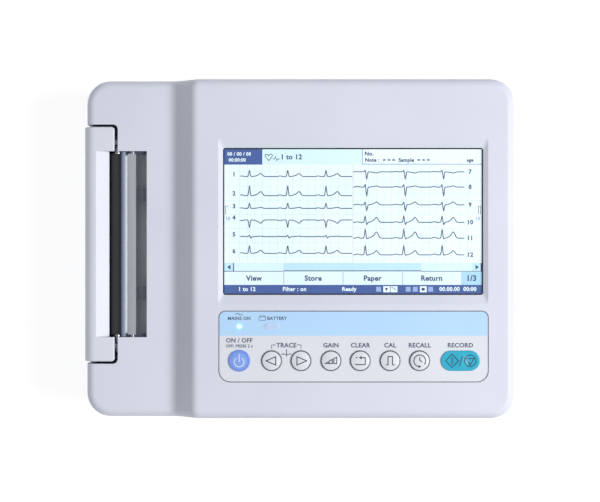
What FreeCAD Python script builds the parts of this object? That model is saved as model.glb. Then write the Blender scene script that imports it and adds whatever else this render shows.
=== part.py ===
# A portable electrocardiograph: a low printer deck on the left, a raised panel
# with display and keys on the right. +X is to the right of a person using it,
# +Y is to the back and +Z is up. The origin is on the table under its middle.
import FreeCAD, Part
import math
import os
import types

import Sketcher
from fcgear import fcgear, involute

SIZES = {
    # case
    "case_left": -128.1,
    "case_right": 129.7,
    "case_depth": 203.4,
    "case_corner": 14.4,
    "foot_height": 3.0,
    "wall": 2.5,
    "panel_wall": 3.0,
    "split_height": 30.0,
    "reveal_height": 0.8,
    "reveal_depth": 0.6,
    "deck_over_head": 5.0,
    "panel_height": 71.0,
    "rim_round": 5.0,
    "base_round": 3.0,
    # slope between the deck and the panel
    "step_foot": -75.2,
    "step_brow": -62.2,
    "foot_blend": 7.0,
    "brow_blend": 6.0,
    "brow_corner": 10.0,
    "brow_inset": 7.0,
    # clearances
    "slack": 0.3,
    "snug": 0.1,
    "running": 0.05,
    "tight": 0.02,
    # display
    "view_left": -45.0,
    "view_right": 110.7,
    "view_front": -27.7,
    "view_back": 60.3,
    "frame_side": 2.8,
    "frame_end": 5.6,
    "frame_depth": 1.5,
    "view_corner": 1.5,
    "glass_border": 4.0,
    "glass_thick": 1.8,
    "lcd_border": 5.5,
    "lcd_thick": 5.7,
    "bracket_border": 4.5,
    "sheet_metal": 1.0,
    # control overlay, keys and lamps
    "overlay_left": -47.5,
    "overlay_right": 113.7,
    "overlay_front": -79.8,
    "overlay_back": -37.1,
    "overlay_top_corner": 4.2,
    "overlay_low_corner": 7.0,
    "overlay_thick": 0.4,
    "key_row": -66.9,
    "key_radius": 6.2,
    "power_key_radius": 6.5,
    "key_proud": 0.8,
    "key_travel": 0.7,
    "key_flange": 1.2,
    "key_flange_thick": 2.0,
    "key_edge": 0.5,
    "start_key_length": 23.3,
    "start_key_depth": 12.1,
    "power_key_at": -35.2,
    "lead_back_key_at": -15.8,
    "lead_next_key_at": 1.7,
    "gain_key_at": 19.6,
    "reset_key_at": 37.1,
    "cal_key_at": 54.9,
    "review_key_at": 72.5,
    "start_key_at": 96.8,
    "lamp_row": -46.4,
    "mains_lamp_radius": 2.2,
    "charge_lamp_at": -15.8,
    "charge_lamp_length": 10.3,
    "charge_lamp_depth": 5.4,
    "charge_led_pitch": 5.3,
    "lamp_collar": 1.0,
    "board_thick": 1.6,
    "switch_side": 6.0,
    "switch_height": 3.5,
    "switch_plunger": 1.6,
    "keypad_gap": 7.6,
    "keypad_inset": 3.2,
    # printer
    "print_mid": 2.75,
    "slot_half": 56.3,
    "door_half": 71.0,
    "door_gap": 1.4,
    "door_outer": -129.7,
    "door_skin": 2.2,
    "door_round": 6.5,
    "door_corner": 2.0,
    "door_edge": 0.8,
    "ramp_top": -122.3,
    "ramp_end": -114.8,
    "ramp_drop": 4.0,
    "ramp_thick": 1.4,
    "tab_right": -111.2,
    "tab_gap": 2.1,
    "tab_corner": 3.0,
    "window_left": -107.3,
    "window_right": -91.6,
    "window_thick": 1.7,
    "window_lip": 3.5,
    "window_below": 0.4,
    "hinge_at": -122.8,
    "hinge_height": 13.0,
    "barrel_radius": 6.0,
    "lug_radius": 3.4,
    "lug_inner": 56.0,
    "lug_outer": 61.4,
    "pin_radius": 1.5,
    "pin_outer": 69.0,
    "rib_inner": 60.5,
    "rib_outer": 63.5,
    "platen_at": -110.6,
    "platen_radius": 5.0,
    "platen_half": 55.0,
    "shaft_radius": 2.5,
    "bush_radius": 4.0,
    "bush_flange": 0.8,
    "gear_module": 0.7,
    "platen_teeth": 16.0,
    "idler_teeth": 30.0,
    "pinion_teeth": 12.0,
    "gear_inner": 64.2,
    "gear_outer": 67.7,
    "gear_backlash": 0.15,
    "idler_down": 40.0,
    "pinion_down": 60.0,
    "stud_radius": 1.5,
    "motor_radius": 12.5,
    "motor_length": 17.5,
    "motor_shaft_radius": 1.0,
    "motor_nose_radius": 4.0,
    "motor_gap": 0.5,
    "head_half": 54.0,
    "head_thick": 1.8,
    "head_over_roll": 0.7,
    "head_tall": 10.0,
    "sink_thick": 4.9,
    "head_pin_radius": 1.5,
    "head_travel": 0.5,
    "frame_inner": 57.0,
    "frame_thick": 2.0,
    "frame_left": -103.6,
    "frame_right": -66.0,
    "frame_screw_inset": 6.0,
    "frame_screw_out": 3.5,
    "frame_over_head": 0.8,
    "beam_left": -92.0,
    "beam_thick": 3.5,
    "beam_lift": 3.5,
    "spring_thick": 0.5,
    "spring_width": 8.0,
    "spring_from_mid": 30.0,
    "roll_at": -89.0,
    "roll_radius": 18.0,
    "roll_half": 55.0,
    "core_radius": 8.5,
    "core_bore": 6.0,
    "tray_gap": 1.0,
    "tray_thick": 1.5,
    # fasteners and feet
    "screw_radius": 1.5,
    "screw_head": 2.8,
    "screw_head_thick": 1.9,
    "screw_bite": 3.0,
    "boss_radius": 4.3,
    "case_screw_depth": 15.0,
    "case_screw_length": 28.0,
    "screw_left": -113.5,
    "screw_right": 115.0,
    "screw_mid": -50.0,
    "screw_row": 89.0,
    "foot_radius": 8.0,
    "foot_recess": 1.0,
    "foot_right": 102.0,
    "foot_left": -101.0,
    "foot_row": 78.0,
    # boards and battery
    "main_board_left": -44.0,
    "main_board_right": 109.0,
    "main_board_front": -93.0,
    "main_board_back": 8.0,
    "main_board_height": 33.0,
    "board_inset": 5.0,
    "power_board_left": -52.0,
    "power_board_right": 20.0,
    "power_board_front": 28.0,
    "power_board_back": 74.0,
    "power_board_height": 11.0,
    "amp_board_width": 31.0,
    "amp_board_gap": 4.0,
    "amp_board_front": 27.0,
    "amp_board_back": 63.0,
    "low_board_height": 9.0,
    "low_boss": 4.0,
    "battery_left": 1.0,
    "battery_right": 81.0,
    "battery_front": -84.0,
    "battery_back": -32.0,
    "battery_thick": 18.5,
    "bay_wall": 2.0,
    "cover_border": 7.0,
    "cover_thick": 1.3,
    "cover_corner": 4.0,
    "battery_corner": 6.0,
    # sockets
    "inlet_at": -4.0,
    "socket_height": 18.0,
    "inlet_width": 25.8,
    "inlet_tall": 18.0,
    "inlet_shell": 1.0,
    "inlet_depth": 19.0,
    "blade_width": 2.0,
    "blade_tall": 4.0,
    "stud_at": -42.0,
    "earth_radius": 3.0,
    "earth_bolt": 2.5,
    "niche_half": 10.0,
    "niche_tall_half": 9.0,
    "niche_depth": 14.0,
    "lan_at": 40.0,
    "usb_at": 62.0,
    "patient_at": 45.0,
    "patient_half": 27.0,
    "patient_depth": 12.0,
    "patient_shell": 6.0,
    "jack_pitch": 33.3,
    "jack_bore": 1.42,
    "speaker_at": 88.0,
    "speaker_row": 12.0,
    "speaker_radius": 13.0,
}

doc = FreeCAD.newDocument("ecg_machine")
sheet = doc.addObject("Spreadsheet::Sheet", "Sizes")
for row, (name, value) in enumerate(SIZES.items(), start=1):
    sheet.set(f"A{row}", name)
    sheet.set(f"B{row}", str(value))
    sheet.setAlias(f"B{row}", name)
doc.recompute()


class Size:
    """A length that carries its value now and the sheet expression that gives it."""

    def __init__(self, value, text):
        self.value = value
        self.text = text

    def __add__(self, other):
        other = as_size(other)
        return Size(self.value + other.value, f"({self.text} + {other.text})")

    def __sub__(self, other):
        other = as_size(other)
        return Size(self.value - other.value, f"({self.text} - {other.text})")

    def __mul__(self, other):
        other = as_size(other)
        return Size(self.value * other.value, f"({self.text} * {other.text})")

    def __truediv__(self, other):
        other = as_size(other)
        return Size(self.value / other.value, f"({self.text} / {other.text})")

    def __neg__(self):
        return Size(-self.value, f"(0 - {self.text})")

    def __radd__(self, other):
        return as_size(other) + self

    def __rsub__(self, other):
        return as_size(other) - self

    def __rmul__(self, other):
        return as_size(other) * self


def as_size(amount):
    return amount if isinstance(amount, Size) else Size(float(amount), repr(float(amount)))


def sine(angle):
    return Size(math.sin(math.radians(angle.value)), f"sin({angle.text} * 1 deg)")


def cosine(angle):
    return Size(math.cos(math.radians(angle.value)), f"cos({angle.text} * 1 deg)")


d = types.SimpleNamespace(**{name: Size(value, f"Sizes.{name}") for name, value in SIZES.items()})


def bind(thing, path, amount):
    thing.setExpression(path, as_size(amount).text)


def place(thing, x, y, z):
    for axis, amount in zip("xyz", (x, y, z)):
        bind(thing, "Placement.Base." + axis, amount)


# Turns that send a piece's own Z axis along X, Y or Z
ALONG = {
    "x": FreeCAD.Rotation(FreeCAD.Vector(0, 1, 0), 90),
    "y": FreeCAD.Rotation(FreeCAD.Vector(1, 0, 0), -90),
    "z": FreeCAD.Rotation(),
}
# Turns for outlines drawn flat: in XZ and raised towards -Y, or in YZ and raised towards +X
OUTLINE = {
    "x": FreeCAD.Rotation(FreeCAD.Vector(1, 1, 1), 120),
    "y": FreeCAD.Rotation(FreeCAD.Vector(1, 0, 0), 90),
    "z": FreeCAD.Rotation(),
}


def box(label, x, y, z):
    """A block, each axis given as its low and high end."""
    block = doc.addObject("Part::Box", label)
    for side, (low, high) in zip(("Length", "Width", "Height"), (x, y, z)):
        bind(block, side, high - low)
    place(block, x[0], y[0], z[0])
    return block


def rod(label, axis, at, radius, span):
    """A round bar along an axis; at holds its other two coordinates in XYZ order."""
    bar = doc.addObject("Part::Cylinder", label)
    bind(bar, "Radius", radius)
    bind(bar, "Height", span[1] - span[0])
    bar.Placement = FreeCAD.Placement(FreeCAD.Vector(), ALONG[axis])
    spot = list(at)
    spot.insert("xyz".index(axis), span[0])
    place(bar, *spot)
    return bar


def fuse(label, *shapes):
    whole = doc.addObject("Part::MultiFuse", label)
    whole.Shapes = list(shapes)
    whole.Refine = True
    return whole


def cut(label, base, *tools):
    result = doc.addObject("Part::Cut", label)
    result.Base = base
    result.Tool = tools[0] if len(tools) == 1 else fuse(label + "_tools", *tools)
    result.Refine = True
    return result


def group(label, *shapes):
    """Like pieces that share one node as separate solids."""
    several = doc.addObject("Part::Compound", label)
    several.Links = list(shapes)
    return several


def draw(sketch, corners):
    """Draw a closed outline of corners (u, v) or (u, v, radius), each bound to the sheet."""
    points = [FreeCAD.Vector(as_size(c[0]).value, as_size(c[1]).value, 0) for c in corners]
    count = len(points)
    starts = list(points)
    ends = list(points)
    arcs = {}
    for i, corner in enumerate(corners):
        if len(corner) < 3:
            continue
        before = (points[i - 1] - points[i]).normalize()
        after = (points[(i + 1) % count] - points[i]).normalize()
        half = before.getAngle(after) / 2
        radius = as_size(corner[2]).value
        reach = radius / math.tan(half)
        ends[i] = points[i] + before * reach
        starts[i] = points[i] + after * reach
        centre = points[i] + (before + after).normalize() * (radius / math.sin(half))
        left_turn = before.cross(after).z < 0
        first, last = (ends[i], starts[i]) if left_turn else (starts[i], ends[i])
        angles = [math.atan2(p.y - centre.y, p.x - centre.x) for p in (first, last)]
        circle = Part.Circle(centre, FreeCAD.Vector(0, 0, 1), radius)
        arcs[i] = (Part.ArcOfCircle(circle, angles[0], angles[1]), left_turn)
    lines = []
    for i in range(count):
        segment = Part.LineSegment(starts[i], ends[(i + 1) % count])
        lines.append(sketch.addGeometry(segment, False))

    def fix(kind, *where):
        index = sketch.addConstraint(Sketcher.Constraint(kind, *where[:-1], as_size(where[-1]).value))
        sketch.setExpression(f"Constraints[{index}]", as_size(where[-1]).text)

    for i, corner in enumerate(corners):
        before, after = lines[i - 1], lines[i]
        if i in arcs:
            curve, left_turn = arcs[i]
            arc = sketch.addGeometry(curve, False)
            tip = sketch.addGeometry(Part.Point(points[i]), True)
            enter, leave = (1, 2) if left_turn else (2, 1)
            sketch.addConstraint(Sketcher.Constraint("Tangent", before, 2, arc, enter))
            sketch.addConstraint(Sketcher.Constraint("Tangent", arc, leave, after, 1))
            sketch.addConstraint(Sketcher.Constraint("PointOnObject", tip, 1, before))
            sketch.addConstraint(Sketcher.Constraint("PointOnObject", tip, 1, after))
            fix("Radius", arc, corner[2])
            vertex = (tip, 1)
        else:
            sketch.addConstraint(Sketcher.Constraint("Coincident", before, 2, after, 1))
            vertex = (after, 1)
        fix("DistanceX", -1, 1, *vertex, corner[0])
        fix("DistanceY", -1, 1, *vertex, corner[1])


def prism(label, axis, corners, span):
    """An outline raised along an axis: drawn in XY for z, in XZ for y and in YZ for x."""
    body = doc.addObject("PartDesign::Body", label)
    sketch = body.newObject("Sketcher::SketchObject", label + "_outline")
    flat = next(f for f in body.Origin.OriginFeatures if f.Role == "XY_Plane")
    sketch.AttachmentSupport = [(flat, "")]
    sketch.MapMode = "FlatFace"
    draw(sketch, corners)
    pad = body.newObject("PartDesign::Pad", label + "_pad")
    pad.Profile = sketch
    bind(pad, "Length", span[1] - span[0])
    body.Placement = FreeCAD.Placement(FreeCAD.Vector(), OUTLINE[axis])
    bind(body, "Placement.Base." + axis, span[1] if axis == "y" else span[0])
    return body


def plate(label, x, y, z, *corners):
    """A plate with rounded plan corners: one radius, or those of the front and the back pair."""
    front = corners[0]
    back = corners[-1]
    outline = [(x[0], y[0], front), (x[1], y[0], front), (x[1], y[1], back), (x[0], y[1], back)]
    return prism(label, "z", outline, z)


def rounded(label, base, radius, pick):
    """A solid with the edges that pick chooses rounded over."""
    body = doc.addObject("PartDesign::Body", label)
    body.BaseFeature = base
    doc.recompute()
    first = body.Group[0]
    names = [f"Edge{i}" for i, edge in enumerate(first.Shape.Edges, start=1) if pick(edge)]
    fillet = body.newObject("PartDesign::Fillet", label + "_fillet")
    fillet.Base = (first, names)
    bind(fillet, "Radius", radius)
    return body


def spread(middle, half):
    return (middle - half, middle + half)


def grown(span, amount):
    return (span[0] - amount, span[1] + amount)


def both_ends(inner, outer):
    """The front and the back span that lie as far from the printer's middle."""
    return ((d.print_mid - outer, d.print_mid - inner), (d.print_mid + inner, d.print_mid + outer))


def hexagon(u, v, across):
    """The corners of a hexagon of a width across its flats."""
    reach = across / 2 / math.cos(math.pi / 6)
    turns = [math.pi / 6 + math.pi / 3 * k for k in range(6)]
    return [(u + reach * math.cos(turn), v + reach * math.sin(turn)) for turn in turns]


nodes = {}


def node(piece):
    nodes[piece.Label] = piece
    return piece


# Heights and spans that many pieces share
case_x = (d.case_left, d.case_right)
case_y = (-d.case_depth / 2, d.case_depth / 2)
floor_low = d.foot_height
floor_top = d.foot_height + d.wall
# The full roll lies in the tray; the head, the platen and the deck follow its height
d.tray_radius = d.roll_radius + d.tray_gap
roll_height = floor_top + d.tray_thick + d.slack + d.roll_radius
d.head_low = roll_height + d.roll_radius + d.head_over_roll
d.head_high = d.head_low + d.head_tall
d.platen_height = d.head_low + d.head_tall / 2
d.beam_low = d.head_low + d.beam_lift
d.frame_top = d.head_high + d.frame_over_head
d.deck_height = d.head_high + d.deck_over_head
deck_under = d.deck_height - d.wall
panel_under = d.panel_height - d.panel_wall
inner_x = grown(case_x, -d.wall)
inner_y = grown(case_y, -d.wall)
inner_corner = d.case_corner - d.wall
beyond = 5.0
screw_end_room = 2.0
machine_screw_bite = 5.0
door_y = spread(d.print_mid, d.door_half)
door_cut_y = spread(d.print_mid, d.door_half + d.door_gap)
slot_y = spread(d.print_mid, d.slot_half)
tab_edge = d.tab_right + d.tab_gap
screw_columns = (d.screw_left, d.screw_mid, d.screw_right)
screw_spots = [(x, y) for x in screw_columns for y in (-d.screw_row, d.screw_row)]
foot_spots = [(x, y) for x in (d.foot_left, d.foot_right) for y in (-d.foot_row, d.foot_row)]
view_x = (d.view_left, d.view_right)
view_y = (d.view_front, d.view_back)
glass_x = grown(view_x, d.glass_border)
glass_y = grown(view_y, d.glass_border)
glass_z = (panel_under - d.glass_thick, panel_under)
lcd_x = grown(view_x, d.lcd_border)
lcd_y = grown(view_y, d.lcd_border)
lcd_z = (glass_z[0] - d.lcd_thick, glass_z[0])
bracket_x = grown(lcd_x, d.bracket_border * 1.5)
bracket_y = grown(lcd_y, d.sheet_metal)
bracket_z = (lcd_z[0] - d.sheet_metal, lcd_z[0])
bracket_spots = [(x, y) for x in grown(lcd_x, d.bracket_border) for y in grown(lcd_y, -d.bracket_border)]
overlay_x = (d.overlay_left, d.overlay_right)
overlay_y = (d.overlay_front, d.overlay_back)
overlay_z = (d.panel_height - d.overlay_thick, d.panel_height)
overlay_corners = (d.overlay_low_corner, d.overlay_top_corner)
keypad_x = grown(overlay_x, -d.snug)
keypad_y = grown(overlay_y, -d.snug)
keypad_z = (panel_under - d.keypad_gap - d.board_thick, panel_under - d.keypad_gap)
keypad_spots = [(x, y) for x in grown(keypad_x, -d.keypad_inset) for y in grown(keypad_y, -d.keypad_inset)]

# Where the feed gears sit, and the screws of the printer frame and the motor bracket
gear_y = both_ends(d.gear_inner, d.gear_outer)[1]
idler_reach = d.gear_module * (d.platen_teeth + d.idler_teeth) / 2 + d.gear_backlash
idler_at = d.platen_at + idler_reach * cosine(d.idler_down)
idler = (idler_at, d.platen_height - idler_reach * sine(d.idler_down))
pinion_reach = d.gear_module * (d.idler_teeth + d.pinion_teeth) / 2 + d.gear_backlash
pinion_at = idler[0] + pinion_reach * cosine(d.pinion_down)
pinion = (pinion_at, idler[1] - pinion_reach * sine(d.pinion_down))
gear_to_bracket = 2.6
bracket_face = gear_y[1] + gear_to_bracket
bracket_foot_depth = 14.0
motor_screw_in = 4.0
bracket_half = d.motor_radius + motor_screw_in
motor_screw_row = bracket_face + bracket_foot_depth - motor_screw_in
motor_screw_spots = [(x, motor_screw_row) for x in spread(pinion[0], bracket_half - motor_screw_in)]
motor_boss_top = pinion[1] - d.motor_radius - d.motor_gap - d.sheet_metal
frame_outer = d.frame_inner + d.frame_thick
frame_screw_from_mid = frame_outer + d.frame_screw_out
frame_screw_rows = spread(d.print_mid, frame_screw_from_mid)
frame_screw_columns = grown((d.frame_left, d.frame_right), -d.frame_screw_inset)
frame_screw_spots = [(x, y) for x in frame_screw_columns for y in frame_screw_rows]
low_boss_top = floor_top + d.low_boss

KEYS = {
    "power_key": (d.power_key_at, d.power_key_radius),
    "lead_back_key": (d.lead_back_key_at, d.key_radius),
    "lead_next_key": (d.lead_next_key_at, d.key_radius),
    "gain_key": (d.gain_key_at, d.key_radius),
    "reset_key": (d.reset_key_at, d.key_radius),
    "cal_key": (d.cal_key_at, d.key_radius),
    "review_key": (d.review_key_at, d.key_radius),
}
start_x = spread(d.start_key_at, d.start_key_length / 2)
start_y = spread(d.key_row, d.start_key_depth / 2)
charge_x = spread(d.charge_lamp_at, d.charge_lamp_length / 2)
charge_y = spread(d.lamp_row, d.charge_lamp_depth / 2)


def pill(label, x, y, z):
    """A plate with fully round ends."""
    return plate(label, x, y, z, (y[1] - y[0]) / 2 - 0.01)


def panel_openings(label, z):
    """What comes up through the panel: the keys and the two lamps, with room to move."""
    shapes = []
    for key, (at, radius) in KEYS.items():
        shapes.append(rod(f"{label}_{key}", "z", (at, d.key_row), radius + d.slack, z))
    shapes.append(pill(f"{label}_start", grown(start_x, d.slack), grown(start_y, d.slack), z))
    lamp = (d.power_key_at, d.lamp_row)
    shapes.append(rod(f"{label}_mains", "z", lamp, d.mains_lamp_radius + d.snug, z))
    shapes.append(pill(f"{label}_charge", grown(charge_x, d.snug), grown(charge_y, d.snug), z))
    return shapes


# Upper case: a moulded shell with a low deck, a sloping step and a raised panel
upper_z = (d.split_height, d.panel_height)
upper_block = plate("upper_block", case_x, case_y, upper_z, d.case_corner)
far_left = d.case_left - 4 * beyond
above = d.panel_height + beyond
step_run = doc.addObject("Sketcher::SketchObject", "step_outline")
step_run.Placement = FreeCAD.Placement(FreeCAD.Vector(), OUTLINE["y"])
brow_right = d.step_brow + d.brow_blend
draw(
    step_run,
    [
        (far_left, d.deck_height),
        (d.step_foot, d.deck_height, d.foot_blend),
        (d.step_brow, d.panel_height, d.brow_blend),
        (brow_right, d.panel_height),
        (brow_right, above),
        (far_left, above),
    ],
)
turn_at = brow_right + d.brow_corner
turn_y = d.case_depth / 2 - d.brow_inset
step_middle = doc.addObject("Part::Extrusion", "step_middle")
step_middle.Base = step_run
step_middle.Dir = FreeCAD.Vector(0, 1, 0)
step_middle.Solid = True
bind(step_middle, "LengthFwd", turn_y)
bind(step_middle, "LengthRev", turn_y)
step_ends = []
for end, side, angle in (("step_front", -1, 90), ("step_back", 1, -90)):
    turned = doc.addObject("Part::Revolution", end)
    turned.Source = step_run
    turned.Axis = FreeCAD.Vector(0, 0, 1)
    turned.Angle = angle
    turned.Solid = True
    bind(turned, "Base.x", turn_at)
    bind(turned, "Placement.Base.y", turn_y * side)
    step_ends.append(turned)
stepped_block = cut("stepped_block", upper_block, step_middle, *step_ends)


def on_outer_wall(point):
    """True for a point on the case's upright outer wall."""
    corner = d.case_corner.value
    across = max(d.case_left.value + corner - point.x, point.x - d.case_right.value + corner, 0)
    along = max(abs(point.y) - d.case_depth.value / 2 + corner, 0)
    return abs(math.hypot(across, along) - corner) < 0.001


def samples(edge):
    span = edge.LastParameter - edge.FirstParameter
    return [edge.valueAt(edge.FirstParameter + span * k / 4) for k in range(5)]


def on_rim(edge):
    """True for an edge where the top meets the outer wall."""
    points = samples(edge)
    if points[0].z < d.split_height.value + 1 or not all(on_outer_wall(p) for p in points):
        return False
    return math.hypot(points[0].x - points[-1].x, points[0].y - points[-1].y) > 0.001


upper_skin = rounded("upper_skin", stepped_block, d.rim_round, on_rim)
low_end = d.split_height - beyond
main_left = d.step_brow + d.brow_blend - d.panel_wall - 1
deck_hollow = plate("deck_hollow", inner_x, inner_y, (low_end, deck_under), inner_corner)
main_hollow_x = (main_left, inner_x[1])
main_hollow = plate("main_hollow", main_hollow_x, inner_y, (low_end, panel_under), inner_corner)
hollow_case = cut("hollow_case", upper_skin, deck_hollow, main_hollow)
deck_boss_top = deck_under + d.wall / 2
post_top = panel_under + d.panel_wall / 6
screw_hole_top = d.case_screw_depth + d.case_screw_length + screw_end_room
screw_hole_z = (d.split_height - beyond, screw_hole_top)
bosses = []
drills = []
for i, (x, y) in enumerate(screw_spots):
    high = deck_boss_top if x is d.screw_left else post_top
    bosses.append(rod(f"case_boss_{i}", "z", (x, y), d.boss_radius, (d.split_height, high)))
    drills.append(rod(f"case_drill_{i}", "z", (x, y), d.screw_radius + d.running, screw_hole_z))
for i, (x, y) in enumerate(bracket_spots):
    bosses.append(rod(f"bracket_post_{i}", "z", (x, y), 2 * d.screw_radius, (bracket_z[1], post_top)))
    deep = (bracket_z[1] - 1, bracket_z[1] + machine_screw_bite + 1)
    drills.append(rod(f"bracket_drill_{i}", "z", (x, y), d.screw_radius + d.running, deep))
for i, (x, y) in enumerate(keypad_spots):
    bosses.append(rod(f"keypad_post_{i}", "z", (x, y), 2 * d.screw_radius, (keypad_z[1], post_top)))
    deep = (keypad_z[1] - 1, keypad_z[1] + machine_screw_bite + 1)
    drills.append(rod(f"keypad_drill_{i}", "z", (x, y), d.screw_radius + d.running, deep))
bossed_case = fuse("bossed_case", hollow_case, *bosses)
frame_x = grown(view_x, d.frame_side)
frame_y = grown(view_y, d.frame_end)
frame_top = d.panel_height
frame_floor = d.panel_height - d.frame_depth


def frame_sketch(label, x, y, corner, height):
    sketch = doc.addObject("Sketcher::SketchObject", label)
    draw(sketch, [(x[0], y[0], corner), (x[1], y[0], corner), (x[1], y[1], corner), (x[0], y[1], corner)])
    bind(sketch, "Placement.Base.z", height)
    return sketch


frame_slope = doc.addObject("Part::Loft", "display_frame_slope")
frame_slope.Sections = [
    frame_sketch("frame_slope_low", view_x, view_y, d.view_corner, frame_floor),
    frame_sketch("frame_slope_high", frame_x, frame_y, d.view_corner + 0.5, frame_top),
]
frame_slope.Solid = True
frame_slope.Ruled = True
view_hole = plate("view_hole", view_x, view_y, (glass_z[0], above), d.view_corner)
overlay_pocket_x = grown(overlay_x, d.snug)
overlay_pocket_y = grown(overlay_y, d.snug)
overlay_pocket_z = (overlay_z[0], above)
overlay_pocket = plate(
    "overlay_pocket", overlay_pocket_x, overlay_pocket_y, overlay_pocket_z, *overlay_corners
)
door_cut_x = (d.door_outer - beyond, tab_edge)
door_cut = plate("door_cut", door_cut_x, door_cut_y, (low_end, above), d.tab_corner)
slot_cut = box("slot_cut", (tab_edge - beyond, d.window_right), slot_y, (deck_under - beyond, above))
openings = panel_openings("panel_hole", (panel_under - beyond, above))
top_cuts = [frame_slope, view_hole, overlay_pocket, door_cut, slot_cut]
node(cut("upper_case", bossed_case, *top_cuts, *drills, *openings))

# Lower case: a tray with the battery bay, hinge lugs, standoffs and socket openings
tray_top = d.split_height - d.reveal_height
lower_block = plate("lower_block", case_x, case_y, (floor_low, tray_top), d.case_corner)


def on_base_edge(edge):
    """True for an edge where the underside meets the outer wall."""
    return all(abs(p.z - floor_low.value) < 0.001 and on_outer_wall(p) for p in samples(edge))


reveal_corner = d.case_corner - d.reveal_depth
reveal_z = (tray_top, d.split_height)
reveal_x = grown(case_x, -d.reveal_depth)
reveal_y = grown(case_y, -d.reveal_depth)
reveal = plate("lower_reveal", reveal_x, reveal_y, reveal_z, reveal_corner)
lower_skin = rounded("lower_skin", fuse("lower_solid", lower_block, reveal), d.base_round, on_base_edge)
lower_hollow = plate("lower_hollow", inner_x, inner_y, (floor_top, d.split_height + beyond), inner_corner)
lower_shell = cut("lower_shell", lower_skin, lower_hollow)

battery_x = (d.battery_left, d.battery_right)
battery_y = (d.battery_front, d.battery_back)
battery_z = (floor_top, floor_top + d.battery_thick)
bay_x = grown(battery_x, d.slack)
bay_y = grown(battery_y, d.slack)
bay_roof = battery_z[1] + d.slack
bay_walls_z = (floor_low + d.wall / 2, bay_roof + d.bay_wall)
adds = [box("bay_walls", grown(bay_x, d.bay_wall), grown(bay_y, d.bay_wall), bay_walls_z)]
cuts = [box("bay_pocket", bay_x, bay_y, (floor_low - 1, bay_roof))]
cover_x = grown(battery_x, d.cover_border)
cover_y = grown(battery_y, d.cover_border)
cover_z = (floor_low, floor_low + d.cover_thick)
cover_recess_x = grown(cover_x, d.slack)
cover_recess_y = grown(cover_y, d.slack)
cover_recess_z = (floor_low - 1, floor_low + d.cover_thick + d.tight)
cuts.append(plate("cover_recess", cover_recess_x, cover_recess_y, cover_recess_z, d.cover_corner))
cover_middle = (d.battery_front + d.battery_back) / 2
cover_spots = [(x, cover_middle) for x in grown(cover_x, -d.cover_border / 2)]
cover_screw_top = floor_top + machine_screw_bite
cover_boss_z = (floor_top - 1, cover_screw_top + 1)
for i, (x, y) in enumerate(cover_spots):
    adds.append(rod(f"cover_boss_{i}", "z", (x, y), d.boss_radius - 1, cover_boss_z))
    drill_z = (floor_low, cover_screw_top)
    cuts.append(rod(f"cover_drill_{i}", "z", (x, y), d.screw_radius + d.running, drill_z))
head_seat = d.case_screw_depth
for i, (x, y) in enumerate(screw_spots):
    adds.append(rod(f"lower_boss_{i}", "z", (x, y), d.boss_radius, (floor_top - 1, d.split_height)))
    cuts.append(rod(f"screw_well_{i}", "z", (x, y), d.screw_head + d.slack, (floor_low - 1, head_seat)))
    way_z = (head_seat - 1, d.split_height + 1)
    cuts.append(rod(f"screw_way_{i}", "z", (x, y), d.screw_radius + d.snug, way_z))
foot_seat = floor_low + d.foot_recess
for i, (x, y) in enumerate(foot_spots):
    cuts.append(rod(f"foot_recess_{i}", "z", (x, y), d.foot_radius + d.slack, (floor_low - 1, foot_seat)))
side_gap_x = (d.case_left - 1, inner_x[0] + d.reveal_depth)
cuts.append(box("side_gap", side_gap_x, door_cut_y, (floor_top, d.split_height + 1)))

hinge = (d.hinge_at, d.hinge_height)
lugs_y = both_ends(d.lug_inner, d.lug_outer)
for i, span in enumerate(lugs_y):
    adds.append(rod(f"hinge_lug_{i}", "y", hinge, d.lug_radius, span))
    web_x = (d.hinge_at + 0.6, d.hinge_at + d.lug_radius)
    adds.append(box(f"hinge_web_{i}", web_x, span, (floor_top - 1, d.hinge_height)))
    cuts.append(rod(f"lug_bore_{i}", "y", hinge, d.pin_radius + d.tight, grown(span, 1)))


def board_corners(left, right, front, back):
    return [(x, y) for x in (left + d.board_inset, right - d.board_inset)
            for y in (front + d.board_inset, back - d.board_inset)]


main_board_box = (d.main_board_left, d.main_board_right, d.main_board_front, d.main_board_back)
power_board_box = (d.power_board_left, d.power_board_right, d.power_board_front, d.power_board_back)
patient_face = d.case_right - d.patient_depth
flange_x = (patient_face - d.bay_wall - d.sheet_metal, patient_face - d.bay_wall)
amp_board_right = flange_x[0] - d.amp_board_gap
amp_board_left = amp_board_right - d.amp_board_width
amp_board_box = (amp_board_left, amp_board_right, d.amp_board_front, d.amp_board_back)
case_back = d.case_depth / 2
socket_board_depth = 26.0
socket_board_border = 17.5
socket_board_gap = 1.5
socket_board_back = inner_y[1] - socket_board_gap
socket_board_front = socket_board_back - socket_board_depth
socket_board_x = grown((d.lan_at, d.usb_at), socket_board_border)
socket_board_box = (*socket_board_x, socket_board_front, socket_board_back)
standoffs = []
for spots, height in (
    (board_corners(*main_board_box), d.main_board_height),
    (board_corners(*power_board_box), d.power_board_height),
    (board_corners(*amp_board_box), d.low_board_height),
    (board_corners(*socket_board_box), d.low_board_height),
):
    standoffs.extend((x, y, height) for x, y in spots)
standoffs.extend((x, y, low_boss_top) for x, y in frame_screw_spots)
standoffs.extend((x, y, motor_boss_top) for x, y in motor_screw_spots)
for i, (x, y, height) in enumerate(standoffs):
    adds.append(rod(f"standoff_{i}", "z", (x, y), 2 * d.screw_radius, (floor_top - 1, height)))
    hole_z = (height - d.screw_bite - d.slack, height + 1)
    cuts.append(rod(f"standoff_hole_{i}", "z", (x, y), d.screw_radius + d.running, hole_z))

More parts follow.
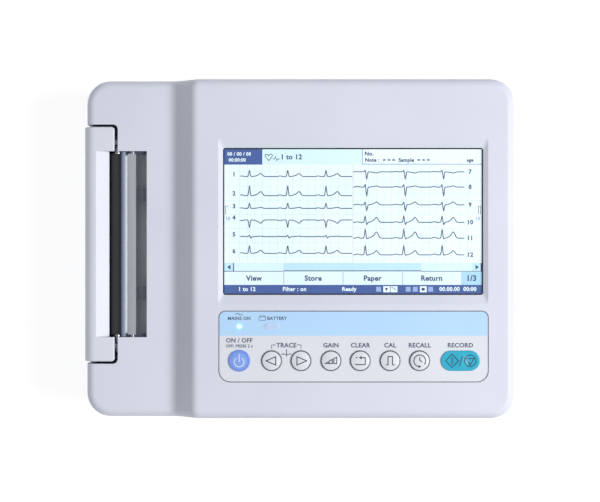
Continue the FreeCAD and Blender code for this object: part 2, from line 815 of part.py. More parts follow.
niche_x = spread(d.stud_at, d.niche_half)
niche_z = spread(d.socket_height, d.niche_tall_half)
niche_back = case_back - d.niche_depth
niche_walls_y = (niche_back - d.bay_wall, case_back - 1)
adds.append(box("niche_walls", grown(niche_x, d.bay_wall), niche_walls_y, grown(niche_z, d.bay_wall)))
cuts.append(box("niche_space", niche_x, (niche_back, case_back + 1), niche_z))
stud_line = (d.stud_at, d.socket_height)
stud_bore_y = (niche_back - 2 * d.bay_wall, niche_back + 1)
cuts.append(rod("stud_bore", "y", stud_line, d.earth_bolt + d.tight, stud_bore_y))
patient_y = spread(d.patient_at, d.patient_half)
patient_z = spread(d.socket_height, d.niche_tall_half)
patient_walls_x = (patient_face - d.bay_wall, d.case_right - 1)
patient_walls_y = grown(patient_y, d.bay_wall)
patient_walls_z = grown(patient_z, d.bay_wall)
adds.append(box("patient_walls", patient_walls_x, patient_walls_y, patient_walls_z))
cuts.append(box("patient_space", (patient_face, d.case_right + 1), patient_y, patient_z))


shell_width = 25.0
shell_tall = 8.4
shell_slant = 1.4
shell_corner = 2.0


def patient_outline(grow, corner):
    """The lopsided outline of the patient connector, wide side up, grown all round."""
    half = shell_width / 2 + grow
    low = half - shell_slant
    tall = shell_tall / 2 + grow
    return [
        (d.patient_at - low, d.socket_height - tall, corner),
        (d.patient_at + low, d.socket_height - tall, corner),
        (d.patient_at + half, d.socket_height + tall, corner),
        (d.patient_at - half, d.socket_height + tall, corner),
    ]


patient_way_x = (patient_face - 2 * d.bay_wall, patient_face + 1)
cuts.append(prism("patient_way", "x", patient_outline(d.slack, shell_corner), patient_way_x))
jack_spots = [(y, d.socket_height) for y in spread(d.patient_at, d.jack_pitch / 2)]
for i, spot in enumerate(jack_spots):
    cuts.append(rod(f"jack_way_{i}", "x", spot, d.jack_bore + d.slack, patient_way_x))


def inlet_outline(grow):
    """The mains inlet's outline, with its two upper corners cut off."""
    half = d.inlet_width / 2 + grow
    top = d.inlet_tall / 2 + grow
    nick = 4.5
    return [
        (d.inlet_at - half, d.socket_height - top),
        (d.inlet_at + half, d.socket_height - top),
        (d.inlet_at + half, d.socket_height + top - nick),
        (d.inlet_at + half - nick, d.socket_height + top),
        (d.inlet_at - half + nick, d.socket_height + top),
        (d.inlet_at - half, d.socket_height + top - nick),
    ]


wall_y = (inner_y[1] - 1, case_back + 1)
cuts.append(prism("inlet_way", "y", inlet_outline(d.slack), wall_y))
socket_floor = d.low_board_height + d.board_thick
lan_x = spread(d.lan_at, 8.0)
lan_z = (socket_floor, socket_floor + 13.5)
usb_x = spread(d.usb_at, 7.3)
usb_z = (socket_floor, socket_floor + 7.2)
cuts.append(box("lan_way", grown(lan_x, d.slack), wall_y, grown(lan_z, d.slack)))
cuts.append(box("usb_way", grown(usb_x, d.slack), wall_y, grown(usb_z, d.slack)))
vent_pitch = 5.0
vent_width = 2.4
vent_half_tall = 6.5
vents_from_usb = 21.0
for k in range(6):
    x = d.usb_at + vents_from_usb + vent_pitch * k
    vent_z = spread(d.socket_height, vent_half_tall)
    cuts.append(box(f"back_vent_{k}", (x, x + vent_width), wall_y, vent_z))
speaker_spot = (d.speaker_at, d.speaker_row)
sound_pitch = 4.0
sound_half_width = 0.9
sound_z = (floor_low - 1, floor_top + 1)
for k in range(-2, 3):
    sound_y = spread(d.speaker_row + sound_pitch * k, sound_half_width)
    sound_x = spread(d.speaker_at, d.speaker_radius - sound_pitch - abs(k))
    cuts.append(box(f"sound_slot_{k + 2}", sound_x, sound_y, sound_z))
node(cut("lower_case", fuse("lower_mass", lower_shell, *adds), *cuts))

# Feet, battery, its cover, and the screws that close the case
foot_z = (as_size(0), foot_seat)
feet = [rod(f"foot_{i}", "z", spot, d.foot_radius, foot_z) for i, spot in enumerate(foot_spots)]
node(group("rubber_feet", *feet))
node(plate("battery_pack", battery_x, battery_y, battery_z, d.battery_corner))
rim_z = (floor_low, floor_top - d.snug)
cover_rim = box("cover_rim", grown(battery_x, -d.slack), grown(battery_y, -d.slack), rim_z)
cover_plate = plate("cover_plate", cover_x, cover_y, cover_z, d.cover_corner)
head_sink = 0.7
cover_cuts = []
cover_screws = []
for i, spot in enumerate(cover_spots):
    head_z = (floor_low, floor_low + head_sink)
    cover_cuts.append(rod(f"cover_head_{i}", "z", spot, d.screw_head + d.snug, (floor_low - 1, head_z[1])))
    hole_z = (floor_low - 1, floor_top)
    cover_cuts.append(rod(f"cover_hole_{i}", "z", spot, d.screw_radius + d.snug, hole_z))
    head = rod(f"cover_screw_head_{i}", "z", spot, d.screw_head, head_z)
    shank = rod(f"cover_screw_shank_{i}", "z", spot, d.screw_radius, (head_z[0], cover_screw_top - 0.5))
    cover_screws.append(fuse(f"cover_screw_{i}", head, shank))
grip_pitch = 2.4
grip_half = 12.0
grip_z = (floor_low - 1, floor_low + d.cover_thick / 2)
grip_lines = []
for k in range(6):
    x = d.battery_right - 3 * d.battery_corner + grip_pitch * k
    grip_x = (x, x + grip_pitch / 2)
    grip_lines.append(box(f"cover_grip_{k}", grip_x, spread(cover_middle, grip_half), grip_z))
node(cut("battery_cover", fuse("cover_solid", cover_plate, cover_rim), *cover_cuts, *grip_lines))
node(group("cover_screws", *cover_screws))
case_screws = []
for i, spot in enumerate(screw_spots):
    head = rod(f"case_screw_head_{i}", "z", spot, d.screw_head, (head_seat - d.screw_head_thick, head_seat))
    shank_z = (head_seat - d.screw_head_thick, head_seat + d.case_screw_length)
    shank = rod(f"case_screw_shank_{i}", "z", spot, d.screw_radius, shank_z)
    case_screws.append(fuse(f"case_screw_{i}", head, shank))
node(group("case_screws", *case_screws))

# Display: touch glass under the frame, the module behind it and its steel bracket
node(plate("touch_panel", glass_x, glass_y, glass_z, d.view_corner))
node(plate("lcd_module", lcd_x, lcd_y, lcd_z, d.view_corner))
bracket_frame = 20.0
bracket_window_x = grown(view_x, -bracket_frame)
bracket_window_y = grown(view_y, -bracket_frame)
bracket_cut_z = grown(bracket_z, 1)
bracket_cuts = [plate("bracket_window", bracket_window_x, bracket_window_y, bracket_cut_z, d.bracket_border)]
for i, spot in enumerate(bracket_spots):
    bracket_cuts.append(rod(f"bracket_hole_{i}", "z", spot, d.screw_radius + d.snug, bracket_cut_z))
bracket_plate = plate("bracket_plate", bracket_x, bracket_y, bracket_z, d.bracket_border)
node(cut("lcd_bracket", bracket_plate, *bracket_cuts))

# Control overlay: a printed sheet let into the panel, with a hole for each key and lamp
overlay_sheet = plate("overlay_sheet", overlay_x, overlay_y, overlay_z, *overlay_corners)
node(cut("panel_overlay", overlay_sheet, *panel_openings("overlay_hole", grown(overlay_z, 1))))

# Keys: round caps with a flange under the panel, and the long start key
key_top = d.panel_height + d.key_proud
flange_z = (panel_under - d.slack - d.key_flange_thick, panel_under - d.slack)


def at_key_top(edge):
    return all(abs(p.z - key_top.value) < 0.001 for p in samples(edge))


for key, (at, radius) in KEYS.items():
    stem = rod(f"{key}_stem", "z", (at, d.key_row), radius, (flange_z[0], key_top))
    flange = rod(f"{key}_flange", "z", (at, d.key_row), radius + d.key_flange, flange_z)
    node(rounded(key, fuse(f"{key}_blank", stem, flange), d.key_edge, at_key_top))
start_stem = pill("start_stem", start_x, start_y, (flange_z[0], key_top))
start_flange = pill("start_flange", grown(start_x, d.key_flange), grown(start_y, d.key_flange), flange_z)
node(rounded("start_stop_key", fuse("start_blank", start_stem, start_flange), d.key_edge, at_key_top))

# Keypad board with a push switch under each key, and the lamps with their light guides
keypad_plate = plate("keypad_plate", keypad_x, keypad_y, keypad_z, d.overlay_top_corner)
keypad_holes = [rod(f"keypad_hole_{i}", "z", spot, d.screw_radius + d.snug, grown(keypad_z, 1))
                for i, spot in enumerate(keypad_spots)]
node(cut("keypad_board", keypad_plate, *keypad_holes))
switch_z = (keypad_z[1], keypad_z[1] + d.switch_height)
plunger_top = flange_z[0] - d.key_travel - d.snug
switches = []
for i, at in enumerate([at for at, _ in KEYS.values()] + [d.start_key_at]):
    body_x = spread(at, d.switch_side / 2)
    body_y = spread(d.key_row, d.switch_side / 2)
    switch_body = box(f"switch_body_{i}", body_x, body_y, switch_z)
    plunger = rod(f"switch_plunger_{i}", "z", (at, d.key_row), d.switch_plunger, (switch_z[0], plunger_top))
    switches.append(fuse(f"switch_{i}", switch_body, plunger))
node(group("push_switches", *switches))
led_height = 1.4
led_half_length = 1.4
led_half_depth = 1.2
led_top = keypad_z[1] + led_height
led_spots = [d.power_key_at, *spread(d.charge_lamp_at, d.charge_led_pitch / 2)]
led_y = spread(d.lamp_row, led_half_depth)
leds = [box(f"led_{i}", spread(x, led_half_length), led_y, (keypad_z[1], led_top))
        for i, x in enumerate(led_spots)]
node(group("indicator_leds", *leds))
guide_z = (led_top + d.slack, d.panel_height)
collar_z = (panel_under - d.slack - 1, panel_under)
mains_spot = (d.power_key_at, d.lamp_row)
mains_guide = rod("mains_guide", "z", mains_spot, d.mains_lamp_radius, guide_z)
mains_collar = rod("mains_collar", "z", mains_spot, d.mains_lamp_radius + d.lamp_collar, collar_z)
node(fuse("mains_lamp", mains_guide, mains_collar))
charge_guide = pill("charge_guide", charge_x, charge_y, guide_z)
charge_collar_x = grown(charge_x, d.lamp_collar)
charge_collar_y = grown(charge_y, d.lamp_collar)
charge_collar = pill("charge_collar", charge_collar_x, charge_collar_y, collar_z)
node(fuse("charge_lamp", charge_guide, charge_collar))

# Paper door: an L-shaped cover with a hinge barrel, ribs for the platen and the paper ramp
skin_inner = d.door_outer + d.door_skin
skin_under = d.deck_height - d.door_skin
door_skin = prism(
    "door_skin",
    "y",
    [
        (d.door_outer, d.hinge_height),
        (skin_inner, d.hinge_height),
        (skin_inner, skin_under, d.door_round - d.door_skin),
        (d.tab_right, skin_under),
        (d.tab_right, d.deck_height),
        (d.door_outer, d.deck_height, d.door_round),
    ],
    door_y,
)
barrel = rod("door_barrel", "y", hinge, d.barrel_radius, door_y)
slot_gap = box("door_slot_gap", (d.ramp_top, d.tab_right + beyond), slot_y, (skin_under - beyond, above))
ramp_low = d.deck_height - d.ramp_drop
ramp = prism(
    "door_ramp",
    "y",
    [
        (d.ramp_top - 1.5, skin_under + 0.3),
        (d.ramp_top, skin_under + 0.3),
        (d.ramp_end, ramp_low - d.ramp_thick),
        (d.ramp_end, ramp_low),
        (d.ramp_top, d.deck_height),
        (d.ramp_top - 1.5, d.deck_height - 1),
    ],
    slot_y,
)
platen = (d.platen_at, d.platen_height)
rib_right = d.platen_at + d.platen_radius
rib_low = d.platen_height - d.bush_radius - 2
rib_high = d.platen_height + d.bush_radius + 1.5
inside_round = d.door_round - d.door_skin + 1
ribs = []
door_bores = []
for i, span in enumerate(both_ends(d.rib_inner, d.rib_outer)):
    ribs.append(
        prism(
            f"door_rib_{i}",
            "y",
            [
                (skin_inner - 1, rib_low - 14),
                (skin_inner + 4, rib_low - 14),
                (rib_right - 4, rib_low),
                (rib_right, rib_low + 2),
                (rib_right, rib_high - 2, 1.5),
                (d.tab_right - 1, rib_high, 1.5),
                (d.tab_right - 1, skin_under + 1),
                (skin_inner - 1, skin_under + 1, inside_round),
            ],
            span,
        )
    )
    door_bores.append(rod(f"bush_bore_{i}", "y", platen, d.bush_radius + d.tight, grown(span, 1)))
end_walls = []
for i, span in enumerate(both_ends(d.door_half - d.door_skin, d.door_half)):
    end_walls.append(
        prism(
            f"door_end_{i}",
            "y",
            [
                (skin_inner - 1, d.hinge_height + 4),
                (d.hinge_at + 3, d.hinge_height + 4),
                (d.tab_right, d.platen_height),
                (d.tab_right, skin_under + 1),
                (skin_inner - 1, skin_under + 1, inside_round),
            ],
            span,
        )
    )
notches = []
notch_z = (d.hinge_height - d.barrel_radius - 1, d.hinge_height + d.lug_radius + 2)
for i, span in enumerate(both_ends(d.lug_inner - d.slack, d.lug_outer + d.slack)):
    notch_x = (d.door_outer - 1, d.hinge_at + d.barrel_radius + 1)
    notches.append(box(f"door_notch_{i}", notch_x, span, notch_z))
for i, span in enumerate(both_ends(d.lug_outer, d.pin_outer + d.slack)):
    door_bores.append(rod(f"door_pin_bore_{i}", "y", hinge, d.pin_radius + d.running, span))
door_knuckles = cut("door_knuckles", barrel, *notches)
door_open_skin = cut("door_open_skin", door_skin, slot_gap)
door_mass = fuse("door_mass", door_open_skin, door_knuckles, ramp, *ribs, *end_walls)


def at_door_end(point):
    return min(abs(point.y - end.value) for end in door_y) < 0.001


def on_ear_corner(edge):
    """True for an upright edge where an ear's end meets its right face."""
    return all(abs(p.x - d.tab_right.value) < 0.001 and at_door_end(p) for p in samples(edge))


def on_ear_rim(edge):
    """True for an edge along the right side of an ear's top."""
    points = samples(edge)
    return all(abs(p.z - d.deck_height.value) < 0.001 and abs(p.x - d.tab_right.value) < 0.001 for p in points)


door_cornered = rounded("door_cornered", door_mass, d.door_corner, on_ear_corner)
door_edged = rounded("door_edged", door_cornered, d.door_edge, on_ear_rim)
node(cut("paper_door", door_edged, *door_bores))
pins = [rod(f"hinge_pin_{i}", "y", hinge, d.pin_radius, span)
        for i, span in enumerate(both_ends(d.lug_inner, d.pin_outer))]
node(group("hinge_pins", *pins))

# Platen: a rubber roller on a steel shaft that turns in bushes in the door
bushes = []
for i, span in enumerate(both_ends(d.rib_inner - d.bush_flange, d.rib_outer)):
    sleeve = rod(f"bush_sleeve_{i}", "y", platen, d.bush_radius, span)
    flange_y = both_ends(d.rib_inner - d.bush_flange, d.rib_inner)[i]
    flange = rod(f"bush_collar_{i}", "y", platen, d.bush_radius + 0.8, flange_y)
    hole = rod(f"bush_hole_{i}", "y", platen, d.shaft_radius + d.running, grown(span, 1))
    bushes.append(cut(f"bush_{i}", fuse(f"bush_solid_{i}", sleeve, flange), hole))
node(group("platen_bushes", *bushes))
shaft_y = (d.print_mid - d.rib_outer - 2, d.print_mid + d.gear_outer + 0.4)
node(rod("platen_shaft", "y", platen, d.shaft_radius, shaft_y))
platen_y = spread(d.print_mid, d.platen_half)
rubber = rod("platen_rubber", "y", platen, d.platen_radius, platen_y)
rubber_bore = rod("platen_bore", "y", platen, d.shaft_radius + d.tight, grown(platen_y, 1))
node(cut("platen_roller", rubber, rubber_bore))

# Feed gears: motor pinion, idler and platen gear in one plane behind the paper
pressure_angle = 20.0


def gear(label, at, teeth, bore, turn):
    """A spur gear with involute teeth, turned so that it meshes with its neighbour."""
    wires = fcgear.FCWireBuilder()
    involute.CreateExternalGear(wires, d.gear_module.value, int(teeth.value), pressure_angle)
    outline = Part.Wire([piece.toShape() for piece in wires.wire])
    width = (gear_y[1] - gear_y[0]).value
    blank = Part.Face(outline).extrude(FreeCAD.Vector(0, 0, width))
    hole = Part.makeCylinder(bore.value, width + 2, FreeCAD.Vector(0, 0, -1))
    wheel = doc.addObject("Part::Feature", label)
    wheel.Shape = blank.cut(hole)
    spin = FreeCAD.Rotation(FreeCAD.Vector(0, 0, 1), turn)
    spot = FreeCAD.Vector(at[0].value, gear_y[1].value, at[1].value)
    wheel.Placement = FreeCAD.Placement(spot, OUTLINE["y"].multiply(spin))
    return wheel


to_idler = -d.idler_down.value
to_pinion = -d.pinion_down.value
idler_pitch = 360 / d.idler_teeth.value
idler_turn = to_idler + 180 + idler_pitch / 2
pinion_pitch = 360 / d.pinion_teeth.value
idler_offset = (to_pinion - idler_turn) / idler_pitch
pinion_turn = to_pinion + 180 + pinion_pitch * (0.5 + idler_offset)
node(gear("platen_gear", platen, d.platen_teeth, d.shaft_radius + d.tight, to_idler))
node(gear("idler_gear", idler, d.idler_teeth, d.stud_radius + d.running, idler_turn))
node(gear("motor_pinion", pinion, d.pinion_teeth, d.motor_shaft_radius + d.tight, pinion_turn))

# Printer frame: two side plates and a beam, screwed to the floor
frame_ends = both_ends(d.frame_inner, frame_outer)
head_face = d.platen_at + d.platen_radius + d.slack
sink_x = (head_face + d.head_thick, head_face + d.head_thick + d.sink_thick)
sink_z = (d.head_low + 1, d.head_high + 0.4)
head_pin = ((sink_x[0] + sink_x[1]) / 2, (sink_z[0] + sink_z[1]) / 2)
base_z = (low_boss_top, low_boss_top + d.frame_thick)
tongue_half = 5.0
frame_adds = []
frame_cuts = []
for i, span in enumerate(frame_ends):
    frame_adds.append(
        prism(
            f"frame_side_{i}",
            "y",
            [
                (d.frame_left, low_boss_top),
                (d.frame_right, low_boss_top),
                (d.frame_right, d.beam_low - 8, 6.0),
                (d.beam_left + 10, d.frame_top, 6.0),
                (d.frame_left, d.frame_top, 2.0),
            ],
            span,
        )
    )
    tongue_y = both_ends(d.frame_inner, frame_outer + 2 * d.frame_screw_out)[i]
    for j, x in enumerate(frame_screw_columns):
        frame_adds.append(box(f"frame_tongue_{i}_{j}", spread(x, tongue_half), tongue_y, base_z))
    slot_low = head_pin[0] - d.head_pin_radius - d.slack
    slot_high = head_pin[0] + d.head_pin_radius + d.slack + d.head_travel
    slot_z = spread(head_pin[1], d.head_pin_radius + d.snug)
    frame_cuts.append(box(f"head_slot_{i}", (slot_low, slot_high), grown(span, 1), slot_z))
for i, spot in enumerate(frame_screw_spots):
    frame_cuts.append(rod(f"frame_hole_{i}", "z", spot, d.screw_radius + d.snug, grown(base_z, 1)))
beam_x = (d.beam_left, d.beam_left + d.beam_thick)
beam_y = spread(d.print_mid, d.frame_inner)
frame_adds.append(box("frame_beam", beam_x, beam_y, (d.beam_low, d.frame_top)))
frame_cuts.append(rod("stud_seat", "y", idler, d.stud_radius + d.tight, grown(frame_ends[1], 1)))
node(cut("printer_frame", fuse("frame_mass", *frame_adds), *frame_cuts))
idler_stud_y = (frame_ends[1][0], gear_y[1] + 0.8)
idler_rod = rod("idler_rod", "y", idler, d.stud_radius, idler_stud_y)
idler_collar_y = (frame_ends[1][1], gear_y[0] - d.snug)
idler_collar = rod("idler_collar", "y", idler, d.stud_radius + 1, idler_collar_y)
node(fuse("idler_stud", idler_rod, idler_collar))

# Print head: a ceramic strip on an aluminium heat sink, pushed at the platen by leaf springs
head_y = spread(d.print_mid, d.head_half)
node(box("thermal_head", (head_face, sink_x[0]), head_y, (d.head_low, d.head_high)))
sink_y = spread(d.print_mid, d.head_half + 1)
sink_block = box("sink_block", sink_x, sink_y, sink_z)
sink_pins = [rod(f"sink_pin_{i}", "y", head_pin, d.head_pin_radius, span)
             for i, span in enumerate(both_ends(d.head_half, frame_outer + 0.5))]
groove_z = [sink_z[0] + 2 + 2.2 * k for k in range(3)]
grooves = [box(f"sink_groove_{k}", (sink_x[1] - 1.5, sink_x[1] + 1), grown(sink_y, 1), (z, z + 1))
           for k, z in enumerate(groove_z)]
node(cut("head_heat_sink", fuse("sink_solid", sink_block, *sink_pins), *grooves))
spring_tip = sink_x[1] + d.head_travel + d.snug
springs = []
for i, middle in enumerate(spread(d.print_mid, d.spring_from_mid)):
    springs.append(
        prism(
            f"head_spring_{i}",
            "y",
            [
                (d.beam_left - d.spring_thick, d.beam_low),
                (d.beam_left, d.beam_low),
                (d.beam_left, d.frame_top - 1),
                (d.beam_left - d.spring_thick, d.frame_top - 1),
                (spring_tip, head_pin[1] + 1),
                (spring_tip, head_pin[1] - 0.5),
                (d.beam_left - d.spring_thick, d.frame_top - 3),
            ],
            spread(middle, d.spring_width / 2),
        )
    )
node(group("head_springs", *springs))

# Feed motor on its bracket, and its shaft
bracket_y_span = (bracket_face, bracket_face + d.sheet_metal)
bracket_foot = spread(pinion[0], bracket_half)
motor_plate_z = (motor_boss_top, pinion[1] + d.motor_radius + 2 * d.sheet_metal)
motor_plate = box("motor_plate", bracket_foot, bracket_y_span, motor_plate_z)
motor_foot_z = (motor_boss_top, motor_boss_top + d.sheet_metal)
motor_foot_y = (bracket_face, bracket_face + bracket_foot_depth)
motor_foot = box("motor_foot", bracket_foot, motor_foot_y, motor_foot_z)
nose_hole = d.motor_nose_radius + d.snug
bracket_hole = rod("bracket_nose_hole", "y", pinion, nose_hole, grown(bracket_y_span, 1))
motor_holes = [rod(f"motor_foot_hole_{i}", "z", spot, d.screw_radius + d.snug, grown(motor_foot_z, 1))
               for i, spot in enumerate(motor_screw_spots)]
bracket_solid = fuse("motor_bracket_solid", motor_plate, motor_foot)
node(cut("motor_bracket", bracket_solid, bracket_hole, *motor_holes))
motor_y = (bracket_y_span[1], bracket_y_span[1] + d.motor_length)
motor_can = rod("motor_can", "y", pinion, d.motor_radius, motor_y)
motor_nose = rod("motor_nose", "y", pinion, d.motor_nose_radius, (bracket_face, motor_y[0] + 1))
motor_bore_y = (bracket_face - 1, motor_y[1] - 2)
motor_bore = rod("motor_bore", "y", pinion, d.motor_shaft_radius + d.running, motor_bore_y)
node(cut("feed_motor", fuse("motor_solid", motor_can, motor_nose), motor_bore))
node(rod("motor_shaft", "y", pinion, d.motor_shaft_radius, (gear_y[0] - 0.3, motor_y[1] - 3)))

# Paper: a curved tray on the floor, and the roll that lies in it on its core
tray_height = floor_top + d.tray_radius + d.tray_thick
roll = (d.roll_at, roll_height)
tray_y = spread(d.print_mid, d.frame_inner)
tray_ring = rod("tray_ring", "y", (d.roll_at, tray_height), d.tray_radius + d.tray_thick, tray_y)
tray_space = rod("tray_space", "y", (d.roll_at, tray_height), d.tray_radius, grown(tray_y, 1))
tray_left = d.roll_at - d.tray_radius - beyond
tray_right = d.roll_at + d.tray_radius + beyond
tray_open = box("tray_open", (tray_left, tray_right), grown(tray_y, 1), (tray_height - 8, tray_height + 30))
node(cut("paper_tray", tray_ring, tray_space, tray_open))
roll_y = spread(d.print_mid, d.roll_half)
roll_solid = rod("roll_solid", "y", roll, d.roll_radius, roll_y)
roll_bore = rod("roll_bore", "y", roll, d.core_radius + d.tight, grown(roll_y, 1))
node(cut("paper_roll", roll_solid, roll_bore))
core_solid = rod("core_solid", "y", roll, d.core_radius, roll_y)
core_hole = rod("core_hole", "y", roll, d.core_bore, grown(roll_y, 1))
node(cut("roll_core", core_solid, core_hole))

# Printer window: a clear strip over the print head with a rounded tear edge
window_top = d.deck_height - d.window_below
window_y = spread(d.print_mid, d.slot_half - d.slack)
window_edge = d.window_right - d.slack
lip_z = (deck_under - d.window_thick, deck_under)
window_bar = prism(
    "window_bar",
    "y",
    [
        (d.window_left, lip_z[0] + 0.8),
        (d.window_left + 2.2, lip_z[0] + 0.2),
        (d.window_left + 5.5, window_top - d.window_thick, 2.5),
        (window_edge - d.window_thick, window_top - d.window_thick),
        (window_edge - d.window_thick, lip_z[0]),
        (window_edge + d.window_lip, lip_z[0]),
        (window_edge + d.window_lip, lip_z[1]),
        (window_edge, lip_z[1]),
        (window_edge, window_top, 0.6),
        (d.window_left + 3.4, window_top, 4.0),
        (d.window_left, lip_z[0] + 1.6, 0.3),
    ],
    window_y,
)
lip_ends = []
for i, span in enumerate(both_ends(d.slot_half - 2, d.slot_half + 2.5)):
    lip_ends.append(box(f"window_lip_{i}", (d.window_left + 7, window_edge + d.window_lip), span, lip_z))
node(fuse("printer_window", window_bar, *lip_ends))

# Main board with its parts, on four standoffs
board_screw_spots = []


def circuit_board(label, outline, height):
    """A board on its four standoffs, with a screw hole at each corner."""
    left, right, front, back = outline
    z = (height, height + d.board_thick)
    sheet_shape = plate(f"{label}_sheet", (left, right), (front, back), z, 2.0)
    holes = []
    for i, (x, y) in enumerate(board_corners(*outline)):
        holes.append(rod(f"{label}_hole_{i}", "z", (x, y), d.screw_radius + d.snug, grown(z, 1)))
        board_screw_spots.append((x, y, z[1], z[1] - d.board_thick - d.screw_bite))
    return node(cut(label, sheet_shape, *holes))


def chips(label, top, places):
    """Blocks soldered on a board: middle, length, depth and height of each."""
    blocks = []
    for i, (x, y, length, depth, height) in enumerate(places):
        blocks.append(box(f"{label}_{i}", spread(x, length / 2), spread(y, depth / 2), (top, top + height)))
    return blocks


circuit_board("main_board", main_board_box, d.main_board_height)
board_top = d.main_board_height + d.board_thick
board_mid_x = (d.main_board_left + d.main_board_right) / 2
board_mid_y = (d.main_board_front + d.main_board_back) / 2
main_parts = chips(
    "main_part",
    board_top,
    [
        (board_mid_x, board_mid_y, as_size(24), as_size(24), as_size(2.4)),
        (board_mid_x + 26, board_mid_y + 6, as_size(14), as_size(10), as_size(1.2)),
        (board_mid_x + 26, board_mid_y - 8, as_size(14), as_size(10), as_size(1.2)),
        (board_mid_x - 30, board_mid_y + 14, as_size(10), as_size(10), as_size(1.6)),
        (board_mid_x - 34, board_mid_y - 20, as_size(18), as_size(6), as_size(5)),
        (board_mid_x + 54, board_mid_y + 26, as_size(8), as_size(26), as_size(6)),
        (board_mid_x - 10, board_mid_y + 38, as_size(34), as_size(6), as_size(3)),
    ],
)
cell_spot = (board_mid_x + 46, board_mid_y - 26)
main_parts.append(rod("main_cell", "z", cell_spot, as_size(10), (board_top, board_top + 3.4)))
node(group("main_board_parts", *main_parts))

# Power board behind the mains inlet: transformer, reservoir capacitors, heat sink, chokes
circuit_board("power_board", power_board_box, d.power_board_height)
power_top = d.power_board_height + d.board_thick
power_mid_x = (d.power_board_left + d.power_board_right) / 2
power_mid_y = (d.power_board_front + d.power_board_back) / 2
power_parts = chips(
    "power_part",
    power_top,
    [
        (power_mid_x + 2, power_mid_y, as_size(26), as_size(24), as_size(20)),
        (power_mid_x + 24, power_mid_y + 8, as_size(9), as_size(14), as_size(12)),
        (power_mid_x - 17, power_mid_y - 2, as_size(3), as_size(34), as_size(18)),
        (power_mid_x + 22, power_mid_y - 10, as_size(10), as_size(8), as_size(6)),
    ],
)
for i, shift in enumerate((-8, 8)):
    can_at = (power_mid_x - 26, power_mid_y + shift)
    power_parts.append(rod(f"power_can_{i}", "z", can_at, as_size(6), (power_top, power_top + 18)))
node(group("power_board_parts", *power_parts))

# Input amplifier: a small board beside the patient connector
circuit_board("amp_board", amp_board_box, d.low_board_height)

# Socket board with the network and data sockets, in the back wall
circuit_board("socket_board", socket_board_box, d.low_board_height)
lan_shell = box("lan_shell", lan_x, (case_back - 22, case_back), lan_z)
lan_space_x = spread(d.lan_at, 5.9)
lan_space_z = (lan_z[0] + 3.4, lan_z[0] + 10.4)
lan_space = box("lan_space", lan_space_x, (case_back - 13, case_back + 1), lan_space_z)
lan_notch_z = (lan_z[0] + 1.4, lan_space_z[1])
lan_notch = box("lan_notch", spread(d.lan_at, 3.2), (case_back - 13, case_back + 1), lan_notch_z)
node(cut("lan_socket", lan_shell, lan_space, lan_notch))
usb_shell = box("usb_shell", usb_x, (case_back - 18, case_back), usb_z)
usb_space_z = (usb_z[0] + 0.9, usb_z[1] - 0.9)
usb_space = box("usb_space", grown(usb_x, -0.7), (case_back - 14, case_back + 1), usb_space_z)
usb_tongue_z = (usb_space_z[1] - 2.4, usb_space_z[1] - 0.6)
usb_tongue_y = (case_back - 15, case_back - 1.5)
usb_tongue = box("usb_tongue", grown(usb_x, -1.4), usb_tongue_y, usb_tongue_z)
node(fuse("usb_socket", cut("usb_hollow", usb_shell, usb_space), usb_tongue))

# Mains inlet: a moulded shroud with three brass blades
inlet_y = (case_back - d.inlet_depth, case_back)
inlet_block = prism("inlet_block", "y", inlet_outline(as_size(0)), inlet_y)
inlet_flange_y = (inner_y[1] - 2, inner_y[1])
inlet_flange = box(
    "inlet_flange",
    spread(d.inlet_at, d.inlet_width / 2 + 3),
    inlet_flange_y,
    spread(d.socket_height, d.inlet_tall / 2 + 2),
)
inlet_space_y = (inlet_y[0] + 3, case_back + 1)
inlet_space = prism("inlet_space", "y", inlet_outline(-d.inlet_shell), inlet_space_y)
blade_from_mid = 7.0
blade_lift = 2.0
blade_spots = [(x, d.socket_height - blade_lift) for x in spread(d.inlet_at, blade_from_mid)]
blade_spots.append((d.inlet_at, d.socket_height + blade_lift))
blade_y = (inlet_y[0] - 5, case_back - 4)
blades = []
blade_ways = []
for i, (x, z) in enumerate(blade_spots):
    blade_x = spread(x, d.blade_width / 2)
    blade_z = spread(z, d.blade_tall / 2)
    blades.append(box(f"blade_{i}", blade_x, blade_y, blade_z))
    way_x = grown(blade_x, d.tight)
    way_z = grown(blade_z, d.tight)
    blade_ways.append(box(f"blade_way_{i}", way_x, grown(blade_y, 1), way_z))
node(cut("mains_inlet", fuse("inlet_solid", inlet_block, inlet_flange), inlet_space, *blade_ways))
node(group("inlet_blades", *blades))

# Earth stud pressed into the back of its niche
earth_pin = rod("earth_pin", "y", stud_line, d.earth_radius, (niche_back, case_back - 1.5))
earth_collar = rod("earth_collar", "y", stud_line, d.earth_radius + 2.5, (niche_back, niche_back + 2))
earth_bolt_y = (niche_back - d.bay_wall - 2 * d.earth_radius, niche_back + 1)
earth_bolt = rod("earth_bolt", "y", stud_line, d.earth_bolt, earth_bolt_y)
node(fuse("earth_stud", earth_pin, earth_collar, earth_bolt))

